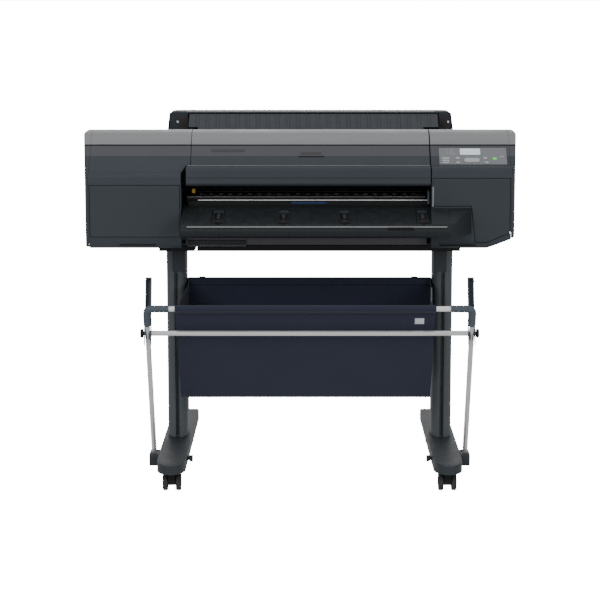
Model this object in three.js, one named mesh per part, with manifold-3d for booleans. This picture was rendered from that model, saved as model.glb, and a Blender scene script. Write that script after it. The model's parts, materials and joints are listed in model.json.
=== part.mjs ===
// A 24 inch large format plotter on its rolling stand, with a cloth print basket.
// Millimetres, +X to the user's right, +Y towards the back, +Z up.
// While it is being built, Y = 0 is the front face of the printer body and Z = 0 is the floor.
import * as THREE from "three";
import { mergeVertices } from "three/addons/utils/BufferGeometryUtils.js";
import Module from "manifold-3d";

const wasm = await Module();
wasm.setup();

// ---------------------------------------------------------------- driving dimensions
const GAP = 0.4; // between pieces that touch
const RUNNING_GAP = 0.5; // round a shaft that turns
const SEAM = 1.5; // visible joint between covers

// printer body
const BODY_HALF_WIDTH = 562; // to the seams of the end covers
const END_BULGE = 26.5; // how far an end cover stands out at its middle
const BODY_DEPTH = 400;
const BODY_BOTTOM = 648;
const BODY_CREST = 956; // highest line of the top covers
const WALL = 3; // moulded covers
const SLOPE_FOOT_Z = 868; // where the sloping front meets the ledge
const SLOPE_FOOT_Y = 34;
const SLOPE_RUN = 50; // depth of the sloping front
const SLOPE_RISE = 49;
const LEDGE_DROP_LEFT = 18; // the left cabinet's ledge is this much lower
const MOUTH_LEFT = -316; // inner faces of the two cabinets
const MOUTH_RIGHT = 350;
const LID_LEFT = -291;
const VISOR_LEFT = -302; // the visor reaches further left than the lid above it
const LID_RIGHT = 347;
const MOUTH_TOP = 817; // lower edge of the lid's visor
const CORNER_CUT = 26; // height of the cut corner under the right cabinet
const INK_COVER_GAP = 1.2;
const ENGINE_FRONT = 62; // room for the print engine behind the cabinets' fronts
const ENGINE_TOP = 905;

// ejection guide and its four supports
const GUIDE_FRONT = -90;
const GUIDE_BACK = 58;
const GUIDE_TOP_Z = 760;
const GUIDE_LIP_Z = 720;
const GUIDE_UNDER_Z = 687;
const GUIDE_RIGHT = 455;
const SUPPORT_X = [-215, -43, 118, 325];
const SUPPORT_WIDTH = 34;
const SUPPORT_LENGTH = 84;
const SUPPORT_THICK = 3.5;

// keys of the control panel
const KEY_TRAVEL = 1.2;
const KEY_RISE = 2.4;
const PANEL_LEFT = 372;
const PANEL_RIGHT = 554;
const PANEL_THICK = 2.4;

// roll unit at the back
const ROLL_LEFT = -379;
const ROLL_RIGHT = 436;
const ROLL_DEPTH = 220; // of the roll unit, behind the body
const TOTAL_HEIGHT = 991;
const REAR_WALL_TOP = 926; // wall between the print engine and the roll
const INLET = [-350, 672]; // lower left corner of the mains inlet, in X and Z
const FEED_GUIDE_LEFT = -317;
const FEED_GUIDE_RIGHT = 391;
const CHEEK_GAP = 4; // between the feed guide and the hood's front cheeks
const RIB_PITCH = 28.6;
const SPINDLE_SET_BACK = 112; // from the body's back to the spindle
const SPINDLE_Z = 868;
const SPINDLE_RADIUS = 16;
const FLANGE_RADIUS = 72;
const MEDIA_WIDTH = 610;
const MEDIA_LEFT = -292; // left edge of the media, against the fixed flange
const BEARING_INSET = 22; // spindle bearings from the ends of the roll cover

// print engine
const RAIL_RADIUS = 10;
const RAIL_Y = 215;
const RAIL_Z = 852;
const CARRIAGE_WIDTH = 112;
const CARRIAGE_X = 446; // parked over the right cabinet
const FEED_RADIUS = 15;
const FEED_Y = 174;
const PLATEN_TOP = 786;
const TANK_COUNT = 6;
const TANK_WIDTH = 28;

// stand
const STAND_X = 26; // the stand is centred on the media, not on the body
const LEG_SPREAD = 370; // from the stand's middle to each foot
const FOOT_LENGTH = 695;
const FOOT_WIDTH = 77;
const NOSE_LENGTH = 58; // rounded front of the foot
const NOSE_DROP = 7;
const FOOT_THICK = 30;
const FOOT_UNDER = 60;
const FOOT_FRONT = -126;
const COLUMN_WIDTH = 56;
const COLUMN_DEPTH = 100;
const COLUMN_FRONT = 191;
const COLUMN_WALL = 7;
const PLATE_THICK = 16;
const PLATE_FRONT = 80;
const PLATE_BACK = 385;
const PLATE_WIDTH = 97;
const PLATE_OVERHANG = 10; // past the outside of the column
const STAY_FRONT_GAP = 6; // slit between the left plate and the stay
const STAY_DEPTH = 44;
const REAR_STAY_Z = 509;
const REAR_STAY_HEIGHT = 26;
const REAR_STAY_DEPTH = 24;
const STAY_WALL = 3;

// casters
const WHEEL_RADIUS = 25;
const WHEEL_WIDTH = 14;
const CASTER_WIDTH = 49;
const CASTER_TRAIL = 16;
const CASTER_INSET = { front: 60, rear: 75 }; // stem from either end of the foot
const AXLE_RADIUS = 4;
const STEM_RADIUS = 5.5;

// basket
const BASKET_LEAN = THREE.MathUtils.degToRad(24.3);
const PIVOT_Y = 8;
const PIVOT_Z = 78;
const LEG_OFFSET = 51; // leg tube from the middle of its foot
const LEG_RADIUS = 7;
const ELBOW_START = 431; // lower end of an elbow, along the leg
const SOCKET_DEPTH = 20; // how deep a tube sits in an elbow
const ROD_HEIGHT = 406; // lower rod, along the leg
const BAR_HEIGHT = 482; // upper bar, along the leg
const ROD_RADIUS = 7;
const ELBOW_RADIUS = 9.5;
const ELBOW_REACH = 57;
const ARM_WIDTH = 18.5;
const ARM_TOP_WIDTH = 16;
const ARM_LENGTH = 150;
const ARM_TAIL = 33;
const ARM_SWEEP = THREE.MathUtils.degToRad(-46); // the side arms lean back from the legs
const CLOTH_CLEAR = 4; // from the columns to the side edges of the cloth's back
const CLOTH_FRONT_CLEAR = { left: 4, right: 16 }; // the same at its front panel
const CLOTH_THICK = 3;
const CLOTH_BOTTOM = 240;
const CLOTH_FRONT_Y = 12; // fold line at the foot of the front panel
const CLOTH_BACK_Y = 183;
const PIN_RADIUS = 4;

const sides = { left: -1, right: 1 };
const rounds = 24; // sides of a round bar

// ---------------------------------------------------------------- materials
const plastic = (color, roughness = 0.55) => new THREE.MeshStandardMaterial({ color, roughness });
const metal = (color, roughness) => new THREE.MeshStandardMaterial({ color, roughness, metalness: 1 });
const slate = plastic(0x3b4149);
const charcoal = plastic(0x22252a);
const silverGrey = plastic(0x85898d, 0.45);
const blackPlastic = plastic(0x101113);
const keyGrey = plastic(0xb9bcc0);
const steel = metal(0xb4b8bc, 0.35);
const aluminium = metal(0xd5d8da, 0.3);
const navyCloth = plastic(0x20242f, 0.95);

// ---------------------------------------------------------------- solids
/** Turns a closed three.js geometry into a solid. */
function solidOf(geometry) {
  const bare = geometry.clone();
  bare.deleteAttribute("normal");
  bare.deleteAttribute("uv");
  const merged = mergeVertices(bare, 1e-3);
  return new wasm.Manifold(
    new wasm.Mesh({
      numProp: 3,
      vertProperties: merged.attributes.position.array,
      triVerts: new Uint32Array(merged.index.array),
    }),
  );
}

/** Turns a solid back into a geometry. */
function geometryOf(solid) {
  const mesh = solid.getMesh();
  return new THREE.BufferGeometry()
    .setAttribute("position", new THREE.BufferAttribute(mesh.vertProperties, 3))
    .setIndex(new THREE.BufferAttribute(mesh.triVerts, 1));
}

const cut = (base, ...tools) =>
  geometryOf(tools.reduce((solid, tool) => solid.subtract(solidOf(tool)), solidOf(base)));
const join = (base, ...others) =>
  geometryOf(others.reduce((solid, other) => solid.add(solidOf(other)), solidOf(base)));
const overlap = (base, ...others) =>
  geometryOf(others.reduce((solid, other) => solid.intersect(solidOf(other)), solidOf(base)));

/** A box between two corners. */
function block([x0, y0, z0], [x1, y1, z1]) {
  return new THREE.BoxGeometry(x1 - x0, y1 - y0, z1 - z0).translate(
    (x0 + x1) / 2,
    (y0 + y1) / 2,
    (z0 + z1) / 2,
  );
}

const shapeOf = (points) => new THREE.Shape(points.map(([a, b]) => new THREE.Vector2(a, b)));
const extrude = (shape, depth) => new THREE.ExtrudeGeometry(shape, { depth, bevelEnabled: false });

/** A side profile, points of [Y, Z], drawn out along X. */
function alongX(points, x0, x1) {
  const turn = new THREE.Matrix4().makeBasis(
    new THREE.Vector3(0, 1, 0),
    new THREE.Vector3(0, 0, 1),
    new THREE.Vector3(1, 0, 0),
  );
  return extrude(shapeOf(points), x1 - x0).applyMatrix4(turn).translate(x0, 0, 0);
}

/** A front outline, points of [X, Z], drawn out along Y. */
function alongY(points, y0, y1) {
  return extrude(shapeOf(points), y1 - y0).rotateX(Math.PI / 2).translate(0, y1, 0);
}

/** A plan, points of [X, Y], drawn out along Z. */
const alongZ = (points, z0, z1) => extrude(shapeOf(points), z1 - z0).translate(0, 0, z0);

/** A round bar along X. */
function barX(radius, x0, x1, y, z, segments = rounds) {
  return new THREE.CylinderGeometry(radius, radius, x1 - x0, segments)
    .rotateZ(Math.PI / 2)
    .translate((x0 + x1) / 2, y, z);
}

/** A round bar along Z. */
function barZ(radius, z0, z1, x = 0, y = 0, segments = rounds) {
  return new THREE.CylinderGeometry(radius, radius, z1 - z0, segments)
    .rotateX(Math.PI / 2)
    .translate(x, y, (z0 + z1) / 2);
}

/** A body of revolution about X from a closed profile of [radius, x]. */
function turned(profile, segments = rounds) {
  const points = profile.map(([radius, x]) => new THREE.Vector2(radius, x));
  return new THREE.LatheGeometry(points, segments).rotateZ(-Math.PI / 2);
}

/** Points of an arc round a centre, from one angle to another in degrees. */
function arc(cx, cy, rx, ry, from, to, steps) {
  return Array.from({ length: steps + 1 }, (_, i) => {
    const angle = THREE.MathUtils.degToRad(from + ((to - from) * i) / steps);
    return [cx + rx * Math.cos(angle), cy + ry * Math.sin(angle)];
  });
}

/** A strip of constant thickness along a line of points, on the line's right-hand side. */
function strip(points, thickness) {
  const inner = points.map((point, i) => {
    const before = points[Math.max(i - 1, 0)];
    const after = points[Math.min(i + 1, points.length - 1)];
    const run = new THREE.Vector2(after[0] - before[0], after[1] - before[1]).normalize();
    return [point[0] + run.y * thickness, point[1] - run.x * thickness];
  });
  return [...points, ...inner.reverse()];
}

function piece(name, geometry, material, parent) {
  const mesh = new THREE.Mesh(geometry, material);
  mesh.name = name;
  parent.add(mesh);
  return mesh;
}

// ---------------------------------------------------------------- shared outlines
const slopeTop = [SLOPE_FOOT_Y + SLOPE_RUN, SLOPE_FOOT_Z + SLOPE_RISE];
const GROOVE = 3; // dark line between the slope and the top cover
const BAND_FRONT = slopeTop[0] + 2;
const CREST_Y = 160;
const LID_HINGE_Y = BODY_DEPTH - 66;
const ROLL_BACK = BODY_DEPTH + ROLL_DEPTH;
const ROLL_FRONT = BODY_DEPTH + 22;
const SPINDLE_Y = BODY_DEPTH + SPINDLE_SET_BACK;

/** Rising curve of the silver-grey top, from the groove to the crest. */
function topCurve(toY, toZ) {
  const start = slopeTop[1] + GROOVE;
  return [
    ...arc(CREST_Y, start, CREST_Y - BAND_FRONT, BODY_CREST - start, 180, 90, 7),
    [toY, toZ],
  ];
}

/** Groove notch above the slope, as points of [Y, Z]. */
const grooveNotch = [
  slopeTop,
  [slopeTop[0] + GROOVE + 2, slopeTop[1] + 0.5],
  [slopeTop[0] + GROOVE + 2, slopeTop[1] + GROOVE],
];

/** Front of a cabinet from its bottom edge to its crest and down the back. */
function cabinetProfile(ledgeDrop, inset = 0) {
  const ledge = SLOPE_FOOT_Z - ledgeDrop;
  const slopeY = SLOPE_FOOT_Y - (ledgeDrop * SLOPE_RUN) / SLOPE_RISE;
  const front = [
    [20, BODY_BOTTOM],
    [7, BODY_BOTTOM + 9],
    [2, BODY_BOTTOM + 28],
    [-4, ledge - 40],
    [-4, ledge - 18],
    ...arc(6, ledge - 10, 10, 10, 180, 90, 4),
    [slopeY, ledge],
  ];
  const back = [
    [BODY_DEPTH - 8, 934],
    [BODY_DEPTH, 926],
    [BODY_DEPTH, BODY_BOTTOM],
  ];
  const outline = [...front, ...grooveNotch, ...topCurve(LID_HINGE_Y, 943), ...back];
  return inset ? insetOutline(outline, inset) : outline;
}

/** Moves every point of a closed outline inwards. The outline runs clockwise in Y and Z. */
function insetOutline(outline, distance) {
  const count = outline.length;
  return outline.map((point, i) => {
    const before = outline[(i + count - 1) % count];
    const after = outline[(i + 1) % count];
    const a = new THREE.Vector2(point[0] - before[0], point[1] - before[1]).normalize();
    const b = new THREE.Vector2(after[0] - point[0], after[1] - point[1]).normalize();
    const normal = new THREE.Vector2(a.y + b.y, -(a.x + b.x)).normalize();
    const stretch = distance / Math.max(0.5, normal.dot(new THREE.Vector2(a.y, -a.x)));
    return [point[0] + normal.x * stretch, point[1] + normal.y * stretch];
  });
}

// ---------------------------------------------------------------- stand
const FOOT_TOP = FOOT_UNDER + FOOT_THICK;
const FOOT_BACK = FOOT_FRONT + FOOT_LENGTH;
const PLATE_TOP = BODY_BOTTOM - GAP;
const PLATE_UNDER = PLATE_TOP - PLATE_THICK;
const footX = (side) => STAND_X + sides[side] * LEG_SPREAD;
const casterSpots = {
  front: FOOT_FRONT + CASTER_INSET.front,
  rear: FOOT_BACK - CASTER_INSET.rear,
};

/** A pressed steel foot, round at the front, hollow underneath between its casters. */
function foot(side, parent) {
  const half = FOOT_WIDTH / 2;
  const rear = 12;
  const plan = [
    ...arc(0, FOOT_FRONT + NOSE_LENGTH, half, NOSE_LENGTH, 180, 360, 14),
    ...arc(half - rear, FOOT_BACK - rear, rear, rear, 0, 90, 3),
    ...arc(rear - half, FOOT_BACK - rear, rear, rear, 90, 180, 3),
  ];
  const section = [
    [FOOT_FRONT - 1, FOOT_UNDER],
    [FOOT_BACK + 1, FOOT_UNDER],
    [FOOT_BACK + 1, FOOT_TOP],
    [FOOT_FRONT + NOSE_LENGTH, FOOT_TOP],
    [FOOT_FRONT + NOSE_LENGTH / 3, FOOT_TOP - NOSE_DROP / 3],
    [FOOT_FRONT - 1, FOOT_TOP - NOSE_DROP],
  ];
  const shell = overlap(
    alongZ(plan, FOOT_UNDER, FOOT_TOP),
    alongX(section, -half - 1, half + 1),
  );
  const hollow = block(
    [-half + WALL, casterSpots.front + 32, FOOT_UNDER - 1],
    [half - WALL, casterSpots.rear - 32, FOOT_TOP - WALL],
  );
  const stems = Object.values(casterSpots).map((y) =>
    barZ(STEM_RADIUS + RUNNING_GAP, FOOT_UNDER - 1, FOOT_UNDER + 22, 0, y),
  );
  const screw = barX(3.5 + GAP, -half - 1, half + 1, PIVOT_Y, BRACKET_Z, 12);
  const mesh = piece(`${side}_foot`, cut(shell, hollow, ...stems, screw), slate, parent);
  mesh.position.x = footX(side);
}

/** An extruded column with full round edges and a groove down its front and back. */
function column(side, parent) {
  const w = COLUMN_WIDTH / 2;
  const d = COLUMN_DEPTH / 2;
  const groove = 5;
  const outline = [
    [groove, -d + 6],
    [groove, -d],
    ...arc(w - 18, -d + 26, 18, 26, 270, 360, 5),
    ...arc(w - 18, d - 26, 18, 26, 0, 90, 5),
    [groove, d],
    [groove, d - 6],
    [-groove, d - 6],
    [-groove, d],
    ...arc(18 - w, d - 26, 18, 26, 90, 180, 5),
    ...arc(18 - w, -d + 26, 18, 26, 180, 270, 5),
    [-groove, -d],
    [-groove, -d + 6],
  ];
  const bore = [
    [COLUMN_WALL - w, 10 - d],
    [w - COLUMN_WALL, 10 - d],
    [w - COLUMN_WALL, d - 10],
    [COLUMN_WALL - w, d - 10],
  ];
  const geometry = cut(
    alongZ(outline, FOOT_TOP + GAP, PLATE_UNDER - GAP),
    alongZ(bore, FOOT_TOP, PLATE_UNDER),
  );
  const mesh = piece(`${side}_column`, geometry, charcoal, parent);
  mesh.position.set(footX(side), COLUMN_FRONT + d, 0);
}

/** The flat plates that carry the printer, and the stay along their front. */
function topPlates(parent) {
  const left = footX("left") - COLUMN_WIDTH / 2 - PLATE_OVERHANG;
  const leftPlate = block(
    [left, PLATE_FRONT, PLATE_UNDER],
    [left + PLATE_WIDTH, PLATE_BACK, PLATE_TOP],
  );
  piece("left_top_plate", leftPlate, blackPlastic, parent);
  const right = footX("right") + COLUMN_WIDTH / 2 + PLATE_OVERHANG;
  const stayLeft = left + PLATE_WIDTH + STAY_FRONT_GAP;
  const plan = [
    [stayLeft, PLATE_FRONT],
    [right, PLATE_FRONT],
    [right, PLATE_BACK],
    [right - PLATE_WIDTH, PLATE_BACK],
    [right - PLATE_WIDTH, PLATE_FRONT + STAY_DEPTH],
    [stayLeft, PLATE_FRONT + STAY_DEPTH],
  ];
  piece("top_stay", alongZ(plan, PLATE_UNDER, PLATE_TOP), blackPlastic, parent);
}

/** The cross stay between the columns, which also carries the cloth's back hem. */
function rearStay(parent) {
  const inner = COLUMN_WIDTH / 2 + GAP;
  const y = COLUMN_FRONT + COLUMN_DEPTH / 2;
  const half = REAR_STAY_DEPTH / 2;
  const top = REAR_STAY_Z + REAR_STAY_HEIGHT;
  const section = (wall, reach) =>
    block(
      [footX("left") + inner - reach, y - half + wall, REAR_STAY_Z + wall],
      [footX("right") - inner + reach, y + half - wall, top - wall],
    );
  piece("rear_stay", cut(section(0, 0), section(STAY_WALL, 1)), charcoal, parent);
}

const BRACKET_Z = 74;
const BRACKET_FRONT = -20;
const BRACKET_BACK = 43;
const BRACKET_TOP = 91;
const BRACKET_OUTER = 12.5; // from the leg's centre to the bracket's outer face
const SCREW_NECK = 5;
const SCREW_HEAD = 9.5;

/** A pocketed bracket outside the foot, with the thumb screw that holds it through the foot. */
function footBracket(side, parent) {
  const s = sides[side];
  const ordered = (a, b) => (a < b ? [a, b] : [b, a]);
  const outline = [
    [BRACKET_FRONT, FOOT_UNDER],
    [BRACKET_BACK, FOOT_UNDER],
    [BRACKET_BACK, BRACKET_TOP - 4],
    [BRACKET_BACK - 4, BRACKET_TOP],
    [BRACKET_FRONT + 3, BRACKET_TOP],
    [BRACKET_FRONT, BRACKET_TOP - 3],
  ];
  const x = s * LEG_OFFSET;
  const inner = s * (FOOT_WIDTH / 2 + GAP);
  const body = alongX(outline, ...ordered(inner, x + s * BRACKET_OUTER));
  const slotHalf = LEG_RADIUS + RUNNING_GAP;
  const slot = block(
    [x - slotHalf, BRACKET_FRONT + 9, FOOT_UNDER + 5],
    [x + slotHalf, BRACKET_BACK - 6, BRACKET_TOP + 1],
  );
  const pinHole = barX(PIN_RADIUS + RUNNING_GAP, x - 10, x + 10, PIVOT_Y, PIVOT_Z);
  const face = -s * (FOOT_WIDTH / 2);
  const neck = face - s * SCREW_NECK;
  const shank = barX(3.5, ...ordered(neck, inner + s), PIVOT_Y, BRACKET_Z, 12);
  const collar = barX(5.5, ...ordered(neck, face - s * GAP), PIVOT_Y, BRACKET_Z, 12);
  const knob = barX(9, ...ordered(neck, neck - s * SCREW_HEAD), PIVOT_Y, BRACKET_Z, 18);
  const mesh = piece(
    `${side}_foot_bracket`,
    join(cut(body, slot, pinHole), shank, collar, knob),
    slate,
    parent,
  );
  mesh.position.x = footX(side);
}

/** A twin-wheel caster: a fork that swivels in the foot, and two wheels on one axle. */
function caster(side, end, parent) {
  const group = new THREE.Group();
  group.position.set(footX(side), casterSpots[end], 0);
  parent.add(group);
  const half = CASTER_WIDTH / 2 - WHEEL_WIDTH - 1.2;
  const y = CASTER_TRAIL;
  const profile = [
    [-14, 42],
    [-14, FOOT_UNDER - 1.2],
    [16, FOOT_UNDER - 1.2],
    ...arc(y, WHEEL_RADIUS, WHEEL_RADIUS - 4, WHEEL_RADIUS, 80, -20, 5),
    [4, 16.5],
    [-6, 26],
  ];
  const fork = cut(
    join(
      alongX(profile.reverse(), -half, half),
      barZ(STEM_RADIUS, FOOT_UNDER - 8, FOOT_UNDER + 20),
    ),
    barX(AXLE_RADIUS + RUNNING_GAP, -half - 1, half + 1, y, WHEEL_RADIUS),
  );
  piece(`${end}_${side}_caster_fork`, fork, blackPlastic, group);
  const outer = CASTER_WIDTH / 2;
  const inner = outer - WHEEL_WIDTH;
  const r = WHEEL_RADIUS;
  const wheels = turned([
    [0, -outer + 2],
    [r - 7, -outer],
    [r - 1.5, -outer + 3],
    [r, -outer + 6],
    [r, -inner - 2],
    [r - 2, -inner],
    [AXLE_RADIUS, -inner],
    [AXLE_RADIUS, inner],
    [r - 2, inner],
    [r, inner + 2],
    [r, outer - 6],
    [r - 1.5, outer - 3],
    [r - 7, outer],
    [0, outer - 2],
  ]);
  const mesh = piece(`${end}_${side}_caster_wheels`, wheels, blackPlastic, group);
  mesh.position.set(0, y, WHEEL_RADIUS);
}

function stand() {
  const group = new THREE.Group();
  topPlates(group);
  rearStay(group);
  for (const side of Object.keys(sides)) {
    foot(side, group);
    column(side, group);
    footBracket(side, group);
    for (const end of Object.keys(casterSpots)) caster(side, end, group);
  }
  return group;
}

// ---------------------------------------------------------------- basket
/** The leg tube, which turns on a pin in the foot bracket. Its own Z runs up the leg. */
function legTube(side, parent) {
  const bore = LEG_RADIUS - 1.2;
  const length = ELBOW_START + SOCKET_DEPTH - GAP;
  const tube = cut(
    join(barZ(LEG_RADIUS, -7, length), barX(PIN_RADIUS, -9, 9, 0, 0)),
    barZ(bore, 20, length + 1),
  );
  const mesh = piece(`${side}_leg_tube`, tube, aluminium, parent);
  mesh.position.x = footX(side) + sides[side] * LEG_OFFSET;
}

/** A channel arm that straddles the leg at the lower rod and leans back above it. */
function sideArm(side, parent) {
  const cheek = LEG_RADIUS + GAP;
  const outer = ARM_WIDTH / 2;
  const top = ARM_TOP_WIDTH / 2;
  const half = 9;
  const waist = 40;
  const lower = [
    ...arc(0, -ARM_TAIL + half, half, half, 180, 360, 6),
    [half, waist],
    [-half, waist],
  ];
  const upper = [
    [-half, waist - 4],
    [half, waist - 4],
    ...arc(0, ARM_LENGTH - half, half, half, 0, 180, 6),
  ];
  const webStart = 26;
  const bar = join(alongX(lower, -outer, outer), alongX(upper, -top, top));
  const channel = block([-top + 2.5, -half - 1, webStart], [top - 2.5, half - 3, ARM_LENGTH - 6]);
  const legRoom = block([-cheek, -half - 1, -ARM_TAIL - 1], [cheek, half + 1, webStart]);
  const pivot = barX(PIN_RADIUS + GAP, -outer - 1, outer + 1, 0, 0);
  const hangHole = barX(3, -outer - 1, outer + 1, -2, ARM_LENGTH - 12, 12);
  const mesh = piece(
    `${side}_side_arm`,
    cut(bar, channel, legRoom, pivot, hangHole),
    slate,
    parent,
  );
  mesh.position.set(footX(side) + sides[side] * LEG_OFFSET, 0, ROD_HEIGHT);
  mesh.rotation.x = ARM_SWEEP;
}

/** The thumb knob that clamps the side arm to the leg. */
function clampKnob(side, parent) {
  const s = sides[side];
  const start = ARM_WIDTH / 2 + GAP;
  const neck = [start, start + 1.5];
  const head = [start + 1.5, start + 9.5];
  const ordered = ([a, b]) => (s < 0 ? [-b, -a] : [a, b]);
  const geometry = join(
    barX(5, ...ordered(neck), 0, 0, 12),
    barX(11.5, ...ordered(head), 0, 0, 20),
  );
  const mesh = piece(`${side}_clamp_knob`, geometry, blackPlastic, parent);
  mesh.position.set(footX(side) + s * LEG_OFFSET, 0, ROD_HEIGHT);
}

/** The moulded elbow between a leg and the upper bar. */
function elbow(side, parent) {
  const s = sides[side];
  const bend = 14;
  const path = new THREE.CurvePath();
  const corner = BAR_HEIGHT - bend;
  const start = ELBOW_START;
  path.add(new THREE.LineCurve3(new THREE.Vector3(0, 0, start), new THREE.Vector3(0, 0, corner)));
  path.add(
    new THREE.QuadraticBezierCurve3(
      new THREE.Vector3(0, 0, corner),
      new THREE.Vector3(0, 0, BAR_HEIGHT),
      new THREE.Vector3(-s * bend, 0, BAR_HEIGHT),
    ),
  );
  path.add(
    new THREE.LineCurve3(
      new THREE.Vector3(-s * bend, 0, BAR_HEIGHT),
      new THREE.Vector3(-s * ELBOW_REACH, 0, BAR_HEIGHT),
    ),
  );
  const ring = shapeOf(arc(0, 0, ELBOW_RADIUS, ELBOW_RADIUS, 0, 345, 15));
  const tube = new THREE.ExtrudeGeometry(ring, { steps: 14, extrudePath: path, bevelEnabled: false });
  const barSocket = barX(ROD_RADIUS + GAP, ...socketSpan(s), 0, BAR_HEIGHT);
  const legSocket = barZ(LEG_RADIUS + GAP, start - 1, start + SOCKET_DEPTH);
  const mesh = piece(`${side}_elbow`, cut(tube, barSocket, legSocket), slate, parent);
  mesh.position.x = footX(side) + s * LEG_OFFSET;
}

const socketSpan = (s) => {
  const mouth = -s * (ELBOW_REACH + 1);
  const end = -s * (ELBOW_REACH - SOCKET_DEPTH);
  return [Math.min(mouth, end), Math.max(mouth, end)];
};

/** Upper bar inside the cloth's front hem, and the lower rod between the legs. */
function basketBars(parent) {
  const legX = (side) => footX(side) + sides[side] * LEG_OFFSET;
  const reach = ELBOW_REACH - SOCKET_DEPTH + GAP;
  const upper = barX(ROD_RADIUS, legX("left") + reach, legX("right") - reach, 0, BAR_HEIGHT);
  piece("upper_bar", upper, aluminium, parent);
  const inner = ARM_WIDTH / 2 + GAP;
  const lower = barX(ROD_RADIUS, legX("left") + inner, legX("right") - inner, 0, ROD_HEIGHT);
  piece("lower_rod", lower, aluminium, parent);
}

const columnFace = (side) => footX(side) - sides[side] * (COLUMN_WIDTH / 2);
const backSpan = [columnFace("left") + CLOTH_CLEAR, columnFace("right") - CLOTH_CLEAR];
const frontSpan = [
  columnFace("left") + CLOTH_FRONT_CLEAR.left,
  columnFace("right") - CLOTH_FRONT_CLEAR.right,
];

/** Front and bottom of the cloth sling, which swing with the basket frame. */
function frontCloth(parent) {
  const bar = new THREE.Vector2(
    PIVOT_Y - BAR_HEIGHT * Math.sin(BASKET_LEAN),
    PIVOT_Z + BAR_HEIGHT * Math.cos(BASKET_LEAN),
  );
  const hem = ROD_RADIUS + GAP;
  const line = [
    [CLOTH_BACK_Y, CLOTH_BOTTOM + 14],
    [(CLOTH_BACK_Y + CLOTH_FRONT_Y) / 2, CLOTH_BOTTOM + 4],
    [CLOTH_FRONT_Y + 26, CLOTH_BOTTOM],
    [CLOTH_FRONT_Y, CLOTH_BOTTOM + 10],
    [bar.x + hem, bar.y - 3],
  ];
  const panel = alongX(strip(line, CLOTH_THICK), ...frontSpan);
  const sleeve = barX(hem + 2.2, ...frontSpan, bar.x, bar.y, 16);
  const bore = barX(hem, frontSpan[0] - 1, frontSpan[1] + 1, bar.x, bar.y, 16);
  piece("front_cloth", cut(join(panel, sleeve), bore), navyCloth, parent);
}

/** Back of the cloth sling, hung on the rear stay. */
function rearCloth(parent) {
  const stayFront = COLUMN_FRONT + (COLUMN_DEPTH - REAR_STAY_DEPTH) / 2;
  const line = [
    [stayFront - GAP, REAR_STAY_Z + REAR_STAY_HEIGHT - 4],
    [stayFront - GAP, REAR_STAY_Z],
    [CLOTH_BACK_Y + 16, CLOTH_BOTTOM + 100],
    [CLOTH_BACK_Y + 4, CLOTH_BOTTOM + 22],
  ];
  const panel = alongX(strip(line, CLOTH_THICK), ...backSpan);
  piece("rear_cloth", panel, navyCloth, parent);
}

function basket() {
  const group = new THREE.Group();
  const frame = new THREE.Group();
  frame.position.set(0, PIVOT_Y, PIVOT_Z);
  frame.rotation.x = BASKET_LEAN;
  group.add(frame);
  for (const side of Object.keys(sides)) {
    legTube(side, frame);
    sideArm(side, frame);
    clampKnob(side, frame);
    elbow(side, frame);
  }
  basketBars(frame);
  frontCloth(group);
  rearCloth(group);
  return group;
}

// ---------------------------------------------------------------- printer body
const cabinets = {
  left: { x0: -BODY_HALF_WIDTH, x1: MOUTH_LEFT, drop: LEDGE_DROP_LEFT },
  right: { x0: MOUTH_RIGHT, x1: BODY_HALF_WIDTH, drop: 0 },
};
const COVER_MARGIN = 2.5; // frame left round an ink tank cover
const inkCovers = {
  left: { x0: -BODY_HALF_WIDTH + COVER_MARGIN, x1: MOUTH_LEFT - COVER_MARGIN, top: 819, bottom: 679 },
  right: { x0: MOUTH_RIGHT + COVER_MARGIN, x1: BODY_HALF_WIDTH - COVER_MARGIN, top: 838, bottom: 664 },
};
const CORNER_X = 498; // where the right cabinet's bottom edge starts to rise
const RIGHT_NOTCH_TOP = GUIDE_TOP_Z + 2;

/** Outline of an ink tank cover seen from the front, drawn in from its opening by a margin. */
function coverOutline(side, margin) {
  const { x0, x1, top, bottom } = inkCovers[side];
  const [l, r, t, b] = [x0 + margin, x1 - margin, top - margin, bottom + margin];
  if (side === "left") {
    return [[l, b], [r, b], [r, t], [l, t]];
  }
  const notch = GUIDE_RIGHT + 12 + margin;
  return [
    [notch, b],
    [CORNER_X, b],
    [r, b + CORNER_CUT],
    [r, t],
    [l, t],
    [l, RIGHT_NOTCH_TOP + margin],
    [notch - 12, RIGHT_NOTCH_TOP + margin],
  ];
}

/** Front outline of a cabinet, clockwise: cut corners, and a shoulder beside the visor. */
function cabinetFront(side) {
  const { x0, x1, drop } = cabinets[side];
  const top = BODY_CREST + 1;
  if (side === "left") {
    return [
      [x0, BODY_BOTTOM],
      [x0, top],
      [LID_LEFT - SEAM, top],
      [LID_LEFT - SEAM, SLOPE_FOOT_Z],
      [VISOR_LEFT - SEAM, SLOPE_FOOT_Z],
      [x1, SLOPE_FOOT_Z - drop],
      [x1, BODY_BOTTOM],
    ];
  }
  return [
    [x0, BODY_BOTTOM],
    [x0, top],
    [x1, top],
    [x1, BODY_BOTTOM + CORNER_CUT],
    [CORNER_X, BODY_BOTTOM],
  ];
}

/** Front outline of the room inside a cabinet, which runs out through its outer end. */
function cabinetRoom(side) {
  const { x0, x1 } = cabinets[side];
  const open = side === "left" ? x0 : x1;
  const past = open + sides[side];
  return insetOutline(cabinetFront(side), WALL).map(([x, z]) =>
    Math.abs(x - open) < WALL * 2 ? [past, z] : [x, z],
  );
}

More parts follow.
